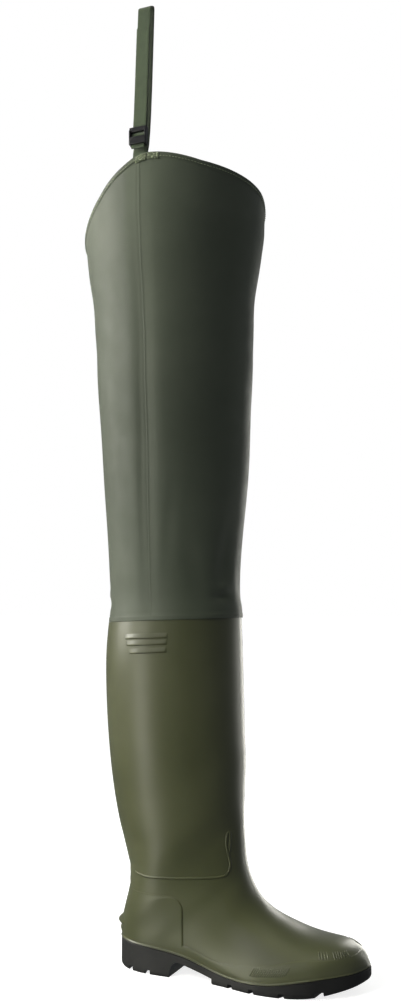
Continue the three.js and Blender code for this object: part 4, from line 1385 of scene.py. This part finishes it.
def makeLeg(settings):
    arounds, circumference = legArounds(settings)
    shares = np.linspace(0, 1, settings["rows"] + 1) ** 1.0
    bottom = boot["jointHeight"] + boot["clearance"]
    start = np.array([0, 0.8, 1.6, 3.2, 4.6, 5.4, 6.2])
    top = rimHeightAt(arounds)
    bodyTop = top - 9.0
    z = [np.full(len(arounds), bottom + lift) for lift in start]
    first = bottom + start[-1]
    for share in shares[1:]:
        z.append(mix(first, bodyTop, share))
    hem = np.array([8.0, 7.2, 6.6, 6.1, 5.6, 4.6, 3.8, 2.4, 1.2, 0.4, 0.0])
    for drop in hem:
        z.append(top - drop)
    z = np.array(z)
    around = np.broadcast_to(arounds, z.shape)
    drop = top[None, :] - z
    rise = z - bottom
    offset = (around - 0.25) * circumference
    seam = softStep(-7.2, -4.9, offset) * (1 - softStep(0.0, 2.6, offset)) * leg["seamStep"] * 0.16
    seam += 0.2 * np.exp(-(((offset + 0.2) / 0.6) ** 2)) + 0.16 * np.exp(-(((offset + 3.4) / 0.6) ** 2))
    hemLift = (1 - softStep(5.6, 6.8, drop)) * leg["hemStep"]
    hemLift -= 0.25 * np.exp(-(((drop - 4.2) / 0.5) ** 2))
    weld = (1 - softStep(settings["weldHeight"] - 0.8, settings["weldHeight"] + 0.6, rise)) * settings["weldStep"]
    edgeFade = softStep(0, 14, drop) * softStep(0, 10, rise)
    folds = legFoldDepth(z, around) * edgeFade
    lift = np.maximum(seam * softStep(2, 8, rise), 0) + np.minimum(seam, 0) + hemLift + weld
    points = shaftPoints(z, around, 0.0)
    flat = shaftPoints(z, around, 1.0)
    outward = points - flat
    points = tiltJoint(points + outward * (lift - folds)[..., None])
    points[:, -1] = points[:, 0]
    uv = (around * circumference * mm, z * mm)
    bm = gridOf(points, uv)
    bmesh.ops.remove_doubles(bm, verts=bm.verts, dist=0.02)
    centre = lambda face: Vector((legAxis, 0, face.calc_center_median().z))
    turnOut(bm, centre)
    piece = makePiece(bm, "fabric_leg", coatedFabric, ("shaft",), 60)
    addWall(piece, leg["wall"])
    return piece


fabricLeg = makeLeg(legSettings)
print("fabric leg made")

threadSettings = {"length": 2.3, "pitch": 3.3, "width": 0.75, "lift": 0.3, "colour": (0.25, 0.29, 0.18)}


def makeThreadLook(settings):
    material, tree, shader = newMaterial("stitch_thread")
    place = objectCoordinates(tree)
    pale = settings["colour"]
    dark = tuple(value * 0.7 for value in pale)
    tree.links.new(rampNode(tree, noiseNode(tree, place, 500), [(0.3, dark), (0.7, pale)]), shader.inputs["Base Color"])
    shader.inputs["Roughness"].default_value = 0.7
    return material


threadLook = makeThreadLook(threadSettings)


# One stitch on the leg: a small closed capsule of thread between two places (around, z)
def addStitch(bm, start, end, settings):
    ends = np.array([start, end])
    z, around = ends[:, 1], ends[:, 0]
    low = shaftPoints(z, around, -leg["hemStep"] - settings["lift"])
    flat = shaftPoints(z, around, 1.0)
    outward = low - flat
    outward /= np.linalg.norm(outward, axis=1, keepdims=True)
    a, b = Vector(low[0]), Vector(low[1])
    out = Vector(outward[0])
    along = (b - a).normalized()
    across = along.cross(out).normalized()
    rings = []
    for share, size in ((0, 0.35), (0.18, 1), (0.82, 1), (1, 0.35)):
        centre = a.lerp(b, share)
        half = settings["width"] / 2 * size
        ring = []
        for k in range(6):
            turn = k * math.pi / 3
            ring.append(bm.verts.new(centre + across * half * math.cos(turn) + out * half * math.sin(turn)))
        rings.append(ring)
    for one, two in zip(rings, rings[1:]):
        for k in range(6):
            bm.faces.new((one[k], one[(k + 1) % 6], two[(k + 1) % 6], two[k]))
    bm.faces.new(rings[0][::-1])
    bm.faces.new(rings[-1])


# The hem's seam all round the rim, and the two bartacks that hold the strap
def makeStitches(settings):
    bm = bmesh.new()
    circumference = 610
    count = int(circumference / settings["pitch"])
    share = settings["length"] / settings["pitch"]
    for k in range(count):
        start, end = k / count, (k + share) / count
        drop = leg["hemHeight"] - 1.5
        places = [(turn, float(rimHeightAt(turn)) - drop) for turn in (start, end)]
        addStitch(bm, *places, settings)
    for middle, width, low, high in ((0.2535, 12, 8, 1.2), (0.2765, 13, 7.5, 1.2)):
        lines = 12
        for k in range(lines):
            start = middle + (k / lines - 0.5) * width / circumference
            end = start + width / lines / circumference * 0.9
            places = [(start, float(rimHeightAt(start)) - low), (end, float(rimHeightAt(end)) - high)]
            addStitch(bm, *places, settings)
        for drop in (low, high):
            for k in range(5):
                start = middle + (k / 5 - 0.5) * width / circumference
                end = start + width / 6 / circumference
                places = [(turn, float(rimHeightAt(turn)) - drop) for turn in (start, end)]
                addStitch(bm, *places, settings)
    bmesh.ops.recalc_face_normals(bm, faces=bm.faces)
    return makePiece(bm, "leg_stitches", threadLook, (), 60)


legStitches = makeStitches(threadSettings)
print("stitches made")

# Strap, tab and buckle

strap = {
    "x": legAxis - 0.005 * boot["soleLength"],
    "width": 16,
    "thickness": 1.3,
    "rise": 177,
    "spread": 9.5,
    "lean": 5,
    "tailDrop": 26,
    "tabLength": 30,
}
buckle = {"width": 21, "height": 21, "thickness": 4, "edge": 0.6}
rimOuterZ = float(rimHeightAt(0.25))


def wallY(z):
    return -(float(shaftHalves(np.array(z, float))[1]) - leg["wall"]) + boot["clearance"] * 2


buckleY = wallY(rimOuterZ) - 1
buckleZ = rimOuterZ + buckle["height"]


# A band of webbing that follows (y, z) corners, with selvedges that are a little thicker
def makeWebbing(corners, name, replaced):
    path = roundedPath(corners)
    across = np.linspace(-0.5, 0.5, 13)
    lengths = np.concatenate([[0], np.cumsum([(b - a).length for a, b in zip(path, path[1:])])])
    fine = np.linspace(0, lengths[-1], max(int(lengths[-1] / 1.2), 20))
    y = np.interp(fine, lengths, [place.x for place in path])
    z = np.interp(fine, lengths, [place.y for place in path])
    tangent = np.stack([np.gradient(y), np.gradient(z)], -1)
    tangent /= np.linalg.norm(tangent, axis=1, keepdims=True)
    normal = np.stack([-tangent[:, 1], tangent[:, 0]], -1)
    edge = softStep(0.36, 0.45, np.abs(across)) * 0.12 - softStep(0.46, 0.5, np.abs(across)) * 0.35
    sheets = []
    for face in (1, -1):
        lift = face * (strap["thickness"] / 2 + edge)
        py = y[:, None] + normal[:, :1] * lift[None, :]
        pz = z[:, None] + normal[:, 1:] * lift[None, :]
        lean = strap["lean"] * np.maximum(pz - rimOuterZ, 0) / strap["rise"]
        px = strap["x"] + across[None, :] * strap["width"] + lean
        sheets.append(np.stack([px, py, pz], -1))
    # once round the band: front face, then the back face the other way
    loop = np.concatenate([sheets[0], sheets[1][:, ::-1], sheets[0][:, :1]], axis=1)
    widths = np.concatenate([across, across[::-1], across[:1]]) * strap["width"] * mm
    uv = (np.broadcast_to(widths, loop.shape[:2]), np.broadcast_to(fine[:, None] * mm, loop.shape[:2]))
    bm = gridOf(loop, uv)
    bmesh.ops.remove_doubles(bm, verts=bm.verts, dist=0.01)
    ends = [edge for edge in bm.edges if len(edge.link_faces) == 1]
    bmesh.ops.edgeloop_fill(bm, edges=ends)
    bmesh.ops.recalc_face_normals(bm, faces=bm.faces)
    return makePiece(bm, name, webbingCloth, replaced, 50)


def makeTab():
    low = rimOuterZ - strap["tabLength"]
    thick, half = strap["thickness"], buckle["thickness"] / 2
    bar = buckleZ - buckle["height"] / 2 + half
    inner = buckleY + half + thick
    corners = [
        (wallY(low) + thick / 2, low),
        (wallY(rimOuterZ) + thick / 2, rimOuterZ),
        (inner, bar - 2),
        (inner, bar + 1),
        (inner - 1.4, bar + half + 1.4),
        (buckleY, bar + half + 1.8),
        (buckleY - half, bar + half + 1.2),
        (buckleY - half - 1.2, bar),
        (buckleY - half - 0.6, bar - half - 3),
    ]
    return makeWebbing(corners, "tab_webbing", ("buckle_tab",))


def makeStrap():
    low = rimOuterZ - strap["tabLength"]
    top = rimOuterZ + strap["rise"]
    thick, half = strap["thickness"], buckle["thickness"] / 2
    far = wallY(low) + thick * 1.5 + boot["clearance"]
    near = buckleY + half + thick / 2 + boot["clearance"]
    spread = near + strap["spread"]
    fold = strap["spread"] / 2
    bar = buckleZ + 1
    corners = [
        (far, low),
        (far + 1, rimOuterZ - 4),
        (spread, rimOuterZ + 26),
        (spread, top - fold + 2),
        (spread - fold * 0.2, top + 2.5),
        (near + fold, top + 1),
        (near + fold * 0.2, top - 1),
        (near, top - fold),
        (near, bar - 1),
        (near - 1.2, bar - half - 1.3),
        (buckleY, bar - half - 1.7),
        (buckleY - half - 0.6, bar - 1.6),
        (buckleY - half - 1, bar + 1),
        (near - thick - boot["clearance"] * 2, bar + 6),
        (near - thick - boot["clearance"], top - strap["tailDrop"]),
    ]
    return makeWebbing(corners, "strap_loop", ("strap_webbing",))


def makeBuckle():
    bm = bmesh.new()
    half = buckle["thickness"] / 2
    rail = (buckle["width"] - strap["width"]) / 2 - boot["clearance"] * 2
    middle = strap["x"] + strap["lean"] * buckle["height"] / strap["rise"]
    barSize = buckle["thickness"] * 0.7
    low = buckleZ - buckle["height"] / 2 + half
    high = buckleZ + buckle["height"] / 2 - barSize / 2
    blocks = [
        ((middle + side * (buckle["width"] - rail) / 2, buckleY, buckleZ), (rail, half * 2, buckle["height"]))
        for side in (-1, 1)
    ]
    wide = (buckle["width"], barSize, barSize)
    front = buckleY - half
    blocks.append(((middle, buckleY, low), wide))
    blocks.append(((middle, buckleY, buckleZ + 1), wide))
    blocks.append(((middle, front - 0.6, high - 1), (buckle["width"], 3.4, 5.6)))
    blocks.append(((middle, front - 2.9, buckleZ - 5), (buckle["width"] - 1, 2, 8.6)))
    blocks += [
        ((middle + side * (buckle["width"] - rail) / 2, front - 1.4, buckleZ - 1), (rail, 4.4, buckle["height"] * 0.82))
        for side in (-1, 1)
    ]
    for place, size in blocks:
        made = bmesh.ops.create_cube(bm, size=1)["verts"]
        bmesh.ops.scale(bm, verts=made, vec=size)
        bmesh.ops.translate(bm, verts=made, vec=place)
        edges = list({edge for vert in made for edge in vert.link_edges})
        bmesh.ops.bevel(
            bm, geom=edges, offset=buckle["edge"], segments=3, profile=0.5, affect="EDGES", material=-1
        )
    return makePiece(bm, "strap_buckle", bucklePlastic, ("ladder_buckle",), 40)


tabWebbing = makeTab()
strapLoop = makeStrap()
strapBuckle = makeBuckle()
print("strap made")

# Floor and light

studio = {
    "floorColour": (0.45, 0.45, 0.45),
    "skyStrength": 0.2,
    "keyStrength": 31,
    "highKeyStrength": 0.9,
    "lowKeyStrength": 8,
    "fillStrength": 4,
    "footStrength": 0.75,
    "rimStrength": 8,
    "lowRimStrength": 1.2,
    "topStrength": 5,
}


def makeFloor():
    bm = bmesh.new()
    bmesh.ops.create_grid(bm, x_segments=1, y_segments=1, size=40)
    mesh = bpy.data.meshes.new("floor")
    bm.to_mesh(mesh)
    bm.free()
    floor = bpy.data.objects.new("floor", mesh)
    bpy.context.scene.collection.objects.link(floor)
    material, tree, shader = newMaterial("pale_floor")
    place = objectCoordinates(tree)
    pale = studio["floorColour"]
    paler = tuple(value * 0.985 for value in pale)
    tree.links.new(rampNode(tree, noiseNode(tree, place, 3), [(0.3, paler), (0.7, pale)]), shader.inputs["Base Color"])
    shader.inputs["Roughness"].default_value = 0.7
    # The floor's emission is painted light: the floor glows a little dimmer near the boot and full white further out,
    # so it reads white to the horizon.
    distance = tree.nodes.new("ShaderNodeVectorMath")
    distance.operation = "LENGTH"
    tree.links.new(place, distance.inputs[0])
    glow = rampNode(tree, distance.outputs["Value"], [(0.3, (0.8, 0.8, 0.8)), (0.9, (1, 1, 1))])
    tree.links.new(glow, shader.inputs["Emission Color"])
    shader.inputs["Emission Strength"].default_value = 1.0
    floor.data.materials.append(material)
    floor.visible_diffuse = False
    floor.visible_glossy = False
    floor.visible_shadow = False


def areaLight(name, bearing, distance, height, size, strength, aim, spread=180):
    data = bpy.data.lights.new(name, "AREA")
    data.shape = "RECTANGLE"
    data.size, data.size_y = size
    data.energy = strength
    data.color = (1, 0.985, 0.9)
    data.spread = math.radians(spread)
    light = bpy.data.objects.new(name, data)
    turn = math.radians(bearing)
    flat = -forward * math.cos(turn) + rightward * math.sin(turn)
    light.location = flat * distance + Vector((0, 0, height))
    light.rotation_euler = (Vector(aim) - light.location).to_track_quat("-Z", "Y").to_euler()
    bpy.context.scene.collection.objects.link(light)
    return light


def makeWorld():
    world = bpy.data.worlds.new("studio")
    world.use_nodes = True
    bpy.context.scene.world = world
    nodes = world.node_tree.nodes
    links = world.node_tree.links
    dim = nodes["Background"]
    dim.inputs["Color"].default_value = (0.9, 0.95, 1, 1)
    dim.inputs["Strength"].default_value = studio["skyStrength"]
    bright = nodes.new("ShaderNodeBackground")
    bright.inputs["Color"].default_value = (1, 1, 1, 1)
    bright.inputs["Strength"].default_value = 1.0
    path = nodes.new("ShaderNodeLightPath")
    blend = nodes.new("ShaderNodeMixShader")
    links.new(path.outputs["Is Camera Ray"], blend.inputs["Fac"])
    links.new(dim.outputs["Background"], blend.inputs[1])
    links.new(bright.outputs["Background"], blend.inputs[2])
    links.new(blend.outputs["Shader"], nodes["World Output"].inputs["Surface"])


makeFloor()
makeWorld()
areaLight("key_left", -94, 1.5, 0.98, (0.6, 1.0), studio["keyStrength"], (0, 0, 0.75))
highLight = areaLight("key_high", -74, 1.2, 1.45, (0.4, 0.4), studio["highKeyStrength"], (0, 0, 0.93), 26)
highLight.visible_glossy = False
areaLight("key_low", -62, 1.5, 0.02, (0.48, 1.3), studio["lowKeyStrength"], (0, 0, 0.15))
areaLight("fill_front", -28, 2.4, 1.7, (1.4, 1.2), studio["fillStrength"], (0, 0, 0.3))
footLight = areaLight("foot_soft", -50, 0.95, 0.8, (0.45, 0.45), studio["footStrength"], (-0.045, -0.03, 0.1), 32)
footLight.visible_glossy = False
areaLight("rim_right", 150, 1.4, 0.35, (0.3, 1.2), studio["rimStrength"], (0, 0, 0.3))
areaLight("rim_low", 122, 1.0, 0.12, (0.25, 0.6), studio["lowRimStrength"], (0, 0, 0.1))
areaLight("top_soft", 0, 0.3, 2.6, (1.4, 1.4), studio["topStrength"], (0, 0, 0))
bpy.context.scene.view_settings.view_transform = "Standard"
print("stage lit")
